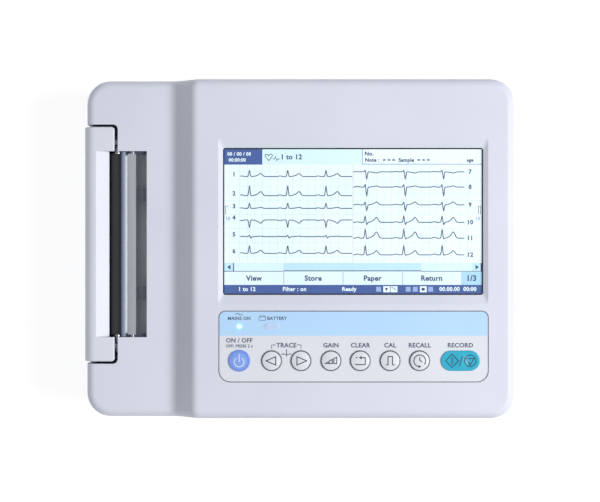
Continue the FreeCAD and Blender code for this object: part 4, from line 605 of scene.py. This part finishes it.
scale_words = [(11, 231, 11, "10"), (788, 231, 11, "10")]
picture_words("picture_scale_words", scale_words, 3, dots_mist)


def status_squares(places, wide, half):
    """Squares in the status row; half is half of their height."""
    return [patch(x, STATUS_MID - half, x + wide, STATUS_MID + half) for x in places]


picture("picture_lights", status_squares((494, 517, 608), 21, 10), 3, dots_white)
picture("picture_dim_lights", status_squares((472, 564, 586, 634), 15, 8), 3, dots_mist)
OVAL_STEPS = 12
kite = [(-5, 2), (0, -5), (5, 2), (0, 5)]
slope = [(519, STATUS_MID - 5), (526, STATUS_MID - 4), (533, STATUS_MID + 4)]
light_marks = [[dots(504 + u, STATUS_MID - v) for u, v in kite]]
light_marks += trace_line(slope, SIGN_WIDTH)
oval_turns = [2 * math.pi * k / OVAL_STEPS for k in range(OVAL_STEPS)]
light_marks.append([dots(618 + 6 * math.cos(a), STATUS_MID - 5 * math.sin(a)) for a in oval_turns])
picture("picture_light_marks", light_marks, 4, dots_slate)

# Control overlay: a printed polyester sheet stuck in a shallow pocket of the panel, with a pale
# blue band for the lamps and a light grey field for the keys. Its words are general ones.
overlay_low, overlay_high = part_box("panel_overlay")
print_field = tinted(
    "print_field", (0.70, 0.72, 0.775), (0.68, 0.70, 0.76), 50, (0.3, 0.38), 0.3, 0.004
)
print_band = tinted(
    "print_band", (0.46, 0.68, 0.93), (0.44, 0.66, 0.92), 50, (0.3, 0.38), 0.3, 0.004
)
print_line = tinted(
    "print_line", (0.135, 0.140, 0.165), (0.115, 0.120, 0.145), 20, (0.3, 0.38), 0.3, 0.004
)
print_ink = tinted(
    "print_ink", (0.105, 0.125, 0.185), (0.085, 0.105, 0.165), 20, (0.3, 0.38), 0.3, 0.004
)
finish(print_field, "panel_overlay")
EDGE_LINE = 0.48 * MM
BACK_CORNER = 4.2 * MM
FRONT_CORNER = 7.0 * MM
BAND_FRONT = -52.0 * MM
CORNER_STEPS = 8


def rounded_outline(x0, y0, x1, y1, front, back):
    """A rectangle with rounded corners, its front pair and its back pair of one radius each."""
    points = []
    corners = (
        (x1 - front, y0 + front, front, 270),
        (x1 - back, y1 - back, back, 0),
        (x0 + back, y1 - back, back, 90),
        (x0 + front, y0 + front, front, 180),
    )
    for x, y, radius, start in corners:
        steps = CORNER_STEPS if radius else 0
        for k in range(steps + 1):
            angle = math.radians(start + 90 * k / max(steps, 1))
            points.append((x + radius * math.cos(angle), y + radius * math.sin(angle)))
    return points


def printed(name, outlines, layer, material):
    """Shapes of one ink on the sheet, laid over those of the layers below."""
    height = overlay_high.z + layer * INK
    return film(name, outlines, height, material, "case")


half_line = EDGE_LINE / 2
edge_middle = rounded_outline(
    overlay_low.x + half_line,
    overlay_low.y + half_line,
    overlay_high.x - half_line,
    overlay_high.y - half_line,
    FRONT_CORNER - half_line,
    BACK_CORNER - half_line,
)
band = rounded_outline(
    overlay_low.x + half_line,
    BAND_FRONT,
    overlay_high.x - half_line,
    overlay_high.y - half_line,
    0,
    BACK_CORNER - half_line,
)
printed("overlay_band", [band], 0, print_band)
printed("overlay_edge", ribbon(edge_middle, EDGE_LINE, closed=True), 1, print_line)


def marks(x, y, points, width, closed=False):
    """A line in millimetres drawn about a middle."""
    return ribbon([((x + u) * MM, (y + v) * MM) for u, v in points], width * MM, closed)


def arc(radius, start, end, steps=24):
    """Points on a part of a circle, between two angles in degrees."""
    angles = [math.radians(start + (end - start) * k / steps) for k in range(steps + 1)]
    return [(radius * math.cos(a), radius * math.sin(a)) for a in angles]


def circle(radius, count=36):
    """Points all round a circle."""
    return arc(radius, 0, 360 - 360 / count, count - 1)


def solid(x, y, points):
    """A filled shape in millimetres drawn about a middle."""
    return [[((x + u) * MM, (y + v) * MM) for u, v in points]]


LABEL_ROW = -57.8
LAMP_LABEL_ROW = -41.7
LABEL_TALL = 2.6 * MM
words = [
    (-35.2, LAMP_LABEL_ROW, 1.9 * MM, "MAINS ON"),
    (-12.6, LAMP_LABEL_ROW, 1.9 * MM, "BATTERY"),
    (-35.2, -54.9, 2.5 * MM, "ON / OFF"),
    (-35.2, -58.2, 1.7 * MM, "OFF: PRESS 2 s"),
    (-7.0, LABEL_ROW, LABEL_TALL, "TRACE"),
    (19.6, LABEL_ROW, LABEL_TALL, "GAIN"),
    (37.1, LABEL_ROW, LABEL_TALL, "CLEAR"),
    (54.9, LABEL_ROW, LABEL_TALL, "CAL"),
    (72.5, LABEL_ROW, LABEL_TALL, "RECALL"),
    (96.8, LABEL_ROW, LABEL_TALL, "RECORD"),
]
placed_words = [(x * MM, y * MM, tall, text) for x, y, tall, text in words]
lettering("overlay_words", placed_words, overlay_high.z + INK, print_ink, "case")
FINE_LINE = 0.3
LINE = 0.4
HEAVY_LINE = 0.45
BATTERY_AT = (-21.4, -41.6)
BRACKET_ROW = -57.5
SPIKE_AT = (-6.9, -62.9)
WAVE_STEP = 0.24
WAVE_HIGH = 0.45
wave = [(k * WAVE_STEP, -WAVE_HIGH * math.sin(k * math.pi / 9)) for k in range(-9, 10)]
signs = marks(-35.3, -39.1, wave, LINE)
battery_box = [(-1.9, -1.2), (1.9, -1.2), (1.9, 0.9), (-1.9, 0.9)]
signs += marks(*BATTERY_AT, battery_box, FINE_LINE, closed=True)
for side in (-1, 1):
    post = [(1.4 * side, 1.0), (1.4 * side, 1.5), (0.6 * side, 1.5), (0.6 * side, 1.0)]
    signs += marks(*BATTERY_AT, post, FINE_LINE)
for at, side in ((-15.8, 1), (1.7, -1)):
    signs += marks(at, BRACKET_ROW, [(0, -2.3), (0, 0), (2.5 * side, 0)], LINE)
spike = [(-0.35, -0.4), (0.0, -1.9), (0.35, -0.4), (0.18, 3.0), (-0.18, 3.0)]
signs += solid(*SPIKE_AT, spike)
for side in (-1, 1):
    ripple = [(2.9 * side, -0.5), (2.1 * side, 0.3), (1.2 * side, -0.4), (0.4 * side, -0.4)]
    signs += marks(*SPIKE_AT, ripple, HEAVY_LINE)
printed("overlay_signs", signs, 1, print_ink)

# Keys: eight caps moulded in coloured plastic that dip 0.7 mm onto push switches on the keypad
# board. The six light ones have a domed face in a dark ring, the power and start keys a low dome
# in their middle, painted lighter than the cap as painted light on the dome, and the symbols are
# printed on the faces and move with them.
KEY_ROW = -66.9
KEY_RADIUS = 6.2
POWER_RADIUS = 6.5
POWER_AT = -35.2
START_AT = 96.8
PILL_HALF = 11.65
PILL_RADIUS = 6.05
LIGHT_KEYS = {
    "lead_back_key": -15.8,
    "lead_next_key": 1.7,
    "gain_key": 19.6,
    "reset_key": 37.1,
    "cal_key": 54.9,
    "review_key": 72.5,
}
FACE_RINGS = 8
FACE_STEPS = 24
FACE_END = 1.001
SIGN_STEP = 0.4
SIGN_LINE = 0.62
THIN_SIGN = 0.35
POWER_LINE = 0.6


def swell(x, y, straight, radius, middle, edge):
    """The height of a round or long face over its base: one at its middle and one at its edge."""

    def height(u, v):
        along = max(abs(u / MM - x) - straight, 0)
        share = math.hypot(along, v / MM - y) / radius
        return (middle + (edge - middle) * share**2) * MM if share < FACE_END else 0.0

    return height


def face(name, x, y, straight, radius, middle, edge, base, material, body, slot):
    """A dome or a dish on a flat top, closed below; sizes in mm, its base in metres."""
    height = swell(x, y, straight, radius, middle, edge)
    shape = bmesh.new()
    rings = []
    for k in range(FACE_RINGS + 1):
        reach = radius * k / FACE_RINGS
        ring = []
        for side, start in ((1, -90), (-1, 90)):
            for u, v in arc(reach, start, start + 180, FACE_STEPS):
                spot = ((x + straight * side + u) * MM, (y + v) * MM)
                ring.append(shape.verts.new((*spot, base + height(*spot))))
        rings.append(ring)
    rings.append([shape.verts.new((vert.co.x, vert.co.y, base - INK)) for vert in rings[-1]])
    for inner, outer in zip(rings, rings[1:]):
        for a, b, c, e in zip(inner, outer, outer[1:] + outer[:1], inner[1:] + inner[:1]):
            shape.faces.new((a, b, c, e))
    shape.faces.new(rings[-1])
    return laid(name, shape, material, body)


def fine(points, closed=False):
    """The same line with points close enough to lie on a curved face."""
    ends = points[1:] + points[:1] if closed else points[1:]
    line = []
    for (x0, y0), (x1, y1) in zip(points, ends):
        count = max(math.ceil(math.hypot(x1 - x0, y1 - y0) / SIGN_STEP), 1)
        line += [(x0 + (x1 - x0) * k / count, y0 + (y1 - y0) * k / count) for k in range(count)]
    return line if closed else line + [points[-1]]


def key_sign(key, outlines, material, lift):
    """A sign printed on a key, laid over the swell of its face."""
    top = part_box(key)[1].z
    return film(key + "_sign", outlines, top, material, key + "_body", lift=lift)


def strokes(x, points, width, closed=False):
    """A line of a key's sign, in millimetres about the key's middle."""
    return marks(x, KEY_ROW, fine(points, closed), width, closed)


ring_dark = tinted(
    "ring_dark", (0.105, 0.115, 0.135), (0.085, 0.095, 0.115), 12, (0.3, 0.4), 0.3, 0.003
)
face_light = tinted(
    "face_light", (0.71, 0.72, 0.765), (0.685, 0.695, 0.745), 12, (0.26, 0.34), 0.3, 0.003
)
cap_blue = tinted(
    "cap_blue", (0.175, 0.29, 0.77), (0.16, 0.27, 0.74), 12, (0.26, 0.34), 0.3, 0.003
)
# Painted light: the power and start keys' domes are their caps' colours made lighter.
face_blue_painted_light = tinted(
    "face_blue_painted_light", (0.225, 0.36, 0.80), (0.21, 0.34, 0.78), 12, (0.26, 0.34), 0.3, 0.003
)
cap_cyan = tinted(
    "cap_cyan", (0.021, 0.40, 0.56), (0.018, 0.38, 0.54), 12, (0.26, 0.34), 0.3, 0.003
)
face_cyan_painted_light = tinted(
    "face_cyan_painted_light", (0.026, 0.415, 0.575), (0.022, 0.395, 0.555), 12, (0.22, 0.3), 0.3, 0.003
)
cap_white = tinted(
    "cap_white", (0.66, 0.73, 0.90), (0.62, 0.70, 0.88), 15, (0.25, 0.33), 0.3, 0.003
)
cap_ink = tinted(
    "cap_ink", (0.070, 0.085, 0.115), (0.055, 0.070, 0.100), 15, (0.25, 0.33), 0.3, 0.003
)
cyan_ink = tinted(
    "cyan_ink", (0.025, 0.105, 0.185), (0.020, 0.090, 0.165), 15, (0.25, 0.33), 0.3, 0.003
)
finish(ring_dark, *LIGHT_KEYS)
finish(cap_blue, "power_key")
finish(cap_cyan, "start_stop_key")
DOME = (0, 5.5, 0.65, 0.03)
POWER_DOME = (0, 5.0, 0.35, 0.03)
START_DOME = (0, 4.7, 0.45, 0.0)
light_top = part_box("gain_key")[1].z
for key, at in LIGHT_KEYS.items():
    face(key + "_face", at, KEY_ROW, *DOME, light_top, face_light, key + "_body", "light_keys")
spot = (POWER_AT, KEY_ROW, *POWER_DOME, light_top)
face("power_key_face", *spot, face_blue_painted_light, "power_key_body", "power_blue")
spot = (START_AT, KEY_ROW, *START_DOME, light_top)
face("start_key_face", *spot, face_cyan_painted_light, "start_stop_key_body", "start_cyan")
POWER_SINK = 0.7
power_ring = [(u, v - POWER_SINK) for u, v in arc(2.9, 122, 418)]
sign = strokes(POWER_AT, power_ring, POWER_LINE)
sign += strokes(POWER_AT, [(0, 4.1), (0, -0.7)], POWER_LINE)
key_sign("power_key", sign, cap_white, swell(POWER_AT, KEY_ROW, *POWER_DOME))


def light_sign(key, sign):
    """A sign on one of the six light keys."""
    height = swell(LIGHT_KEYS[key], KEY_ROW, *DOME)
    return key_sign(key, sign, cap_ink, height)


for key, side in (("lead_back_key", -1), ("lead_next_key", 1)):
    arrow = [(3.4 * side, 0), (-2.4 * side, 2.5 * side), (-2.4 * side, -2.5 * side)]
    light_sign(key, strokes(LIGHT_KEYS[key], arrow, SIGN_LINE, closed=True))
at = LIGHT_KEYS["gain_key"]
middle_bar = [(-1.1, -1.6), (0.8, -1.6), (0.8, 0.9), (-1.1, -0.1)]
tall_bar = [(1.7, -1.6), (3.4, -1.6), (3.4, 2.2), (1.7, 1.35)]
sign = solid(at, KEY_ROW, [(-4.4, -1.8), (-1.5, -1.8), (-1.5, -0.3)])
sign += strokes(at, middle_bar, SIGN_LINE, closed=True)
sign += strokes(at, tall_bar, SIGN_LINE, closed=True)
light_sign("gain_key", sign)
at = LIGHT_KEYS["reset_key"]
sign = strokes(at, [(0.6, 1.9), (2.9, 1.9), (2.9, -2.2), (-3.0, -2.2)], SIGN_LINE)
sign += solid(at, KEY_ROW, [(-1.0, 1.9), (0.8, 0.9), (0.8, 2.9)])
sign += solid(at, KEY_ROW, [(u - 2.2, v + 1.9) for u, v in circle(0.45, 12)])
light_sign("reset_key", sign)
step = [(-2.6, -2.4), (-1.3, -2.4), (-1.3, 2.6), (1.3, 2.6), (1.3, -2.4), (2.6, -2.4)]
light_sign("cal_key", strokes(LIGHT_KEYS["cal_key"], step, SIGN_LINE))
at = LIGHT_KEYS["review_key"]
sign = strokes(at, arc(3.5, -28, 258), SIGN_LINE)
sign += solid(at, KEY_ROW, [(u + 3.1, v - 1.7) for u, v in circle(0.5, 12)])
sign += solid(at, KEY_ROW, [(1.0, -3.4), (-0.8, -2.4), (-0.8, -4.4)])
sign += strokes(at, [(0, 2.2), (0, 0.3), (1.4, -0.6)], SIGN_LINE)
light_sign("review_key", sign)
diamond_at = START_AT - 5.0
stop_at = START_AT + 5.8
bar = [(-0.4, -2.0), (0.4, -2.0), (0.4, 2.0), (-0.4, 2.0)]
sign = strokes(diamond_at, [(-3.9, 0), (0, -3.9), (3.9, 0), (0, 3.9)], SIGN_LINE, closed=True)
sign += strokes(diamond_at, bar, THIN_SIGN, closed=True)
sign += strokes(START_AT, [(1.2, 2.9), (-0.7, -3.2)], SIGN_LINE)
sign += strokes(stop_at, circle(3.4), SIGN_LINE, closed=True)
sign += strokes(stop_at, [(-2.3, 1.4), (2.3, 1.4), (0, -2.5)], SIGN_LINE, closed=True)
height = swell(START_AT, KEY_ROW, *START_DOME)
key_sign("start_stop_key", sign, cyan_ink, height)

# Key seals: thin soft skirts round the caps, in the sheet's own tone, stuck to the sheet. They
# close the gaps that the caps move in.
SEAL = 0.6
SEAL_IN = 0.03
seal_middle = SEAL_IN + SEAL / 2
for key, at in LIGHT_KEYS.items():
    ring = marks(at, KEY_ROW, circle(KEY_RADIUS + seal_middle), SEAL, closed=True)
    printed(key + "_seal", ring, 2, print_field)
ring = marks(POWER_AT, KEY_ROW, circle(POWER_RADIUS + seal_middle), SEAL, closed=True)
printed("power_key_seal", ring, 2, print_field)
reach_x = (PILL_HALF + seal_middle) * MM
reach_y = (PILL_RADIUS + seal_middle) * MM
pill_middle = (START_AT * MM, KEY_ROW * MM)
pill_path = rounded_outline(
    pill_middle[0] - reach_x,
    pill_middle[1] - reach_y,
    pill_middle[0] + reach_x,
    pill_middle[1] + reach_y,
    reach_y,
    reach_y,
)
printed("start_key_seal", ribbon(pill_path, SEAL * MM, closed=True), 2, print_field)

# Lamps: a clear round lens over the blue-white mains lamp, which is lit, and a long lens over the
# two battery lamps, which are off. Both are moulded with a low dome.
LAMP_ROW = -46.4
CHARGE_AT = -15.8
MAINS_LENS = (0, 2.1, 0.25, 0.02)
MAINS_GLOW = (0, 1.35, 0.4, 0.16)
CHARGE_LENS = (2.45, 2.45, 0.35, 0.03)
SPOT_LENS = (0, 0.9, 0.1, 0.02)
SPOT_BASE = 0.27 * MM
SPOT_OUT = 2.65
GLOW_PAINT_RADIUS = 2.6
GLOW_PAINT_WIDE = 0.6
lens_cyan = tinted(
    "lens_cyan", (0.34, 0.76, 0.94), (0.31, 0.73, 0.92), 8, (0.12, 0.2), 0.3, 0.003,
    Emission_Color=(0.35, 0.78, 1.0, 1), Emission_Strength=0.25,
)
lens_white = tinted(
    "lens_white", (0.80, 0.95, 0.97), (0.76, 0.93, 0.97), 8, (0.12, 0.2), 0.3, 0.003,
    Emission_Color=(0.75, 0.95, 1.0, 1), Emission_Strength=0.5,
)
# Painted shade: the charge lamp's lens is a darker copy of its dome's blue, showing at its ends.
lens_edge_painted_shade = tinted(
    "lens_edge_painted_shade", (0.42, 0.58, 0.83), (0.39, 0.55, 0.81), 8, (0.15, 0.25), 0.3, 0.003
)
lens_pale = tinted(
    "lens_pale", (0.50, 0.66, 0.88), (0.47, 0.63, 0.86), 8, (0.12, 0.2), 0.3, 0.003
)
led_clear = tinted(
    "led_clear", (0.56, 0.60, 0.76), (0.52, 0.56, 0.72), 2, (0.12, 0.2), 0.5, 0.004
)
finish(lens_cyan, "mains_lamp")
finish(lens_edge_painted_shade, "charge_lamp")
finish(led_clear, "indicator_leds")
lens_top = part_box("mains_lamp")[1].z
for name, at, dome, clear in (
    ("mains_lens", POWER_AT, MAINS_LENS, lens_cyan),
    ("mains_glow", POWER_AT, MAINS_GLOW, lens_white),
    ("charge_lens", CHARGE_AT, CHARGE_LENS, lens_pale),
):
    face(name, at, LAMP_ROW, *dome, lens_top, clear, "case", "lamp_lens")
for side, out in (("left", -SPOT_OUT), ("right", SPOT_OUT)):
    spot = (CHARGE_AT + out, LAMP_ROW, *SPOT_LENS, lens_top + SPOT_BASE)
    face(f"charge_spot_{side}", *spot, led_clear, "case", "lamp_lens")
# Painted light: a glow ring printed on the sheet round the mains lamp, for the lamp's light on it.
glow_paint = tinted("mains_glow_paint", (0.44, 0.74, 0.96), (0.42, 0.72, 0.95), 8, (0.3, 0.38), 0.3, 0.003)
glow_paint_ring = marks(POWER_AT, LAMP_ROW, circle(GLOW_PAINT_RADIUS, 24), GLOW_PAINT_WIDE, closed=True)
printed("mains_glow_paint_ring", glow_paint_ring, 1, glow_paint)

# Small metalwork: eight sprung contacts in the network socket, four under the tongue of the data
# socket, all gold flashed, and dark crosses on the two screws in the battery cover, painted shade
# for their cross recesses.
gold = tinted(
    "gold_flash", (0.83, 0.62, 0.24), (0.74, 0.54, 0.19), 1.5, (0.2, 0.3), 0.1, 0.003, Metallic=1.0
)
recess_painted_shade = tinted(
    "recess_painted_shade", (0.05, 0.05, 0.055), (0.035, 0.035, 0.04), 1.5, (0.5, 0.65), 0.1, 0.003,
    Metallic=1.0,
)
BAR_SIDES = ((0, 1, 3, 2), (4, 6, 7, 5), (0, 4, 5, 1), (2, 3, 7, 6), (0, 2, 6, 4), (1, 5, 7, 3))


def strips(name, blocks, material):
    """Small square bars, each given as its two opposite corners, in metres."""
    shape = bmesh.new()
    for low, high in blocks:
        corners = [
            shape.verts.new((x, y, z))
            for x in (low[0], high[0])
            for y in (low[1], high[1])
            for z in (low[2], high[2])
        ]
        for side in BAR_SIDES:
            shape.faces.new([corners[k] for k in side])
    return laid(name, shape, material, "case")


def contacts(socket, count, pitch, wide, rise, thick, reach):
    """Flat contacts side by side in a socket's box; reach is how far from its mouth they run."""
    low, high = socket
    under = low.z + rise
    blocks = []
    for k in range(count):
        x = (low.x + high.x) / 2 + pitch * (k - (count - 1) / 2)
        inner = (x - wide / 2, high.y - reach[1], under)
        blocks.append((inner, (x + wide / 2, high.y - reach[0], under + thick)))
    return blocks


LAN_COUNT = 8
LAN_PITCH = 1.02 * MM
LAN_WIDE = 0.4 * MM
LAN_RISE = 9.6 * MM
LAN_THICK = 0.3 * MM
LAN_REACH = (3 * MM, 12.9 * MM)
lan_row = contacts(
    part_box("lan_socket"), LAN_COUNT, LAN_PITCH, LAN_WIDE, LAN_RISE, LAN_THICK, LAN_REACH
)
strips("lan_contacts", lan_row, gold)
USB_COUNT = 4
USB_PITCH = 2.3 * MM
USB_WIDE = 1.0 * MM
USB_THICK = 0.12 * MM
USB_RISE = 3.9 * MM - USB_THICK
USB_REACH = (2 * MM, 12 * MM)
usb_row = contacts(
    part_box("usb_socket"), USB_COUNT, USB_PITCH, USB_WIDE, USB_RISE, USB_THICK, USB_REACH
)
strips("usb_contacts", usb_row, gold)
# Painted shade: thin dark crosses laid on the screw heads where their cross recesses would be.
screw_low, screw_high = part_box("cover_screws")
SCREW_HEAD = 2.8 * MM
screw_row = (screw_low.y + screw_high.y) / 2
ARM_REACH = 1.5 * MM
ARM_HALF = 0.35 * MM
arms = []
for x in (screw_low.x + SCREW_HEAD, screw_high.x - SCREW_HEAD):
    for x0, x1, half in (
        (x - ARM_REACH, x - ARM_HALF, ARM_HALF),
        (x - ARM_HALF, x + ARM_HALF, ARM_REACH),
        (x + ARM_HALF, x + ARM_REACH, ARM_HALF),
    ):
        corner = (x0, screw_row - half, screw_low.z - INK)
        arms.append((corner, (x1, screw_row + half, screw_low.z)))
strips("cover_screw_painted_shade", arms, recess_painted_shade)

# Studio: a light table for a floor, a white sky that is brightest overhead, a large soft light on
# the right, a thin strip of light on the left, and the camera straight above the panel.
FLOOR_SIZE = 8
SKY_LOW = 0.03
SKY_HIGH = 0.57
floor_paint = tinted(
    "floor_paint", (0.26, 0.26, 0.265), (0.25, 0.25, 0.255), 400, (0.7, 0.8), 2, 0.01,
    Emission_Color=(1.0, 1.0, 1.0, 1), Emission_Strength=0.83,
)
bpy.ops.mesh.primitive_plane_add(size=FLOOR_SIZE)
floor = bpy.context.object
floor.name = "studio_floor"
floor.data.materials.append(floor_paint)
world = bpy.data.worlds.new("studio_sky")
bpy.context.scene.world = world
world.use_nodes = True
sky_nodes = world.node_tree.nodes
sky_links = world.node_tree.links
sky_way = sky_nodes.new("ShaderNodeTexCoord")
sky_parts = sky_nodes.new("ShaderNodeSeparateXYZ")
sky_links.new(sky_way.outputs["Generated"], sky_parts.inputs["Vector"])
sky_height = sky_nodes.new("ShaderNodeMapRange")
sky_height.interpolation_type = "SMOOTHSTEP"
sky_height.inputs["To Min"].default_value = SKY_LOW
sky_height.inputs["To Max"].default_value = SKY_HIGH
sky_links.new(sky_parts.outputs["Z"], sky_height.inputs["Value"])
sky_nodes["Background"].inputs["Color"].default_value = (0.96, 0.98, 1.0, 1)
sky_links.new(sky_height.outputs["Result"], sky_nodes["Background"].inputs["Strength"])


def soft_box(name, power, wide, long, place, tilt, turn=0):
    """A flat studio light, tilted over the floor and turned, in degrees."""
    light = bpy.data.lights.new(name, "AREA")
    light.shape = "RECTANGLE"
    light.energy = power
    light.size = wide
    light.size_y = long
    box = bpy.data.objects.new(name, light)
    bpy.context.scene.collection.objects.link(box)
    box.location = place
    box.rotation_euler = (0, math.radians(tilt), math.radians(turn))
    return box


KEY_POWER = 23.5
KEY_SIZE = 0.75
KEY_PLACE = (1.12, -0.1, 1.2)
KEY_TILT = 43
KEY_TURN = -5
key_light = soft_box(
    "soft_right", KEY_POWER, KEY_SIZE, KEY_SIZE, KEY_PLACE, KEY_TILT, KEY_TURN
)
STRIP_POWER = 2.0
STRIP_WIDE = 0.07
STRIP_LONG = 1.2
STRIP_PLACE = (-1.25, 0, 1.15)
STRIP_TILT = -45
strip_light = soft_box(
    "strip_left", STRIP_POWER, STRIP_WIDE, STRIP_LONG, STRIP_PLACE, STRIP_TILT
)
CAMERA_HIGH = 0.92
CAMERA_AT = (0.0011, -0.0014)
PANEL_TOP = 0.071
SEEN_WIDTH = 0.3582
lens = bpy.data.cameras.new("overhead")
lens.lens = lens.sensor_width * CAMERA_HIGH / SEEN_WIDTH
camera = bpy.data.objects.new("overhead", lens)
bpy.context.scene.collection.objects.link(camera)
camera.location = (*CAMERA_AT, PANEL_TOP + CAMERA_HIGH)
bpy.context.scene.camera = camera
bpy.context.scene.view_settings.view_transform = "Standard"
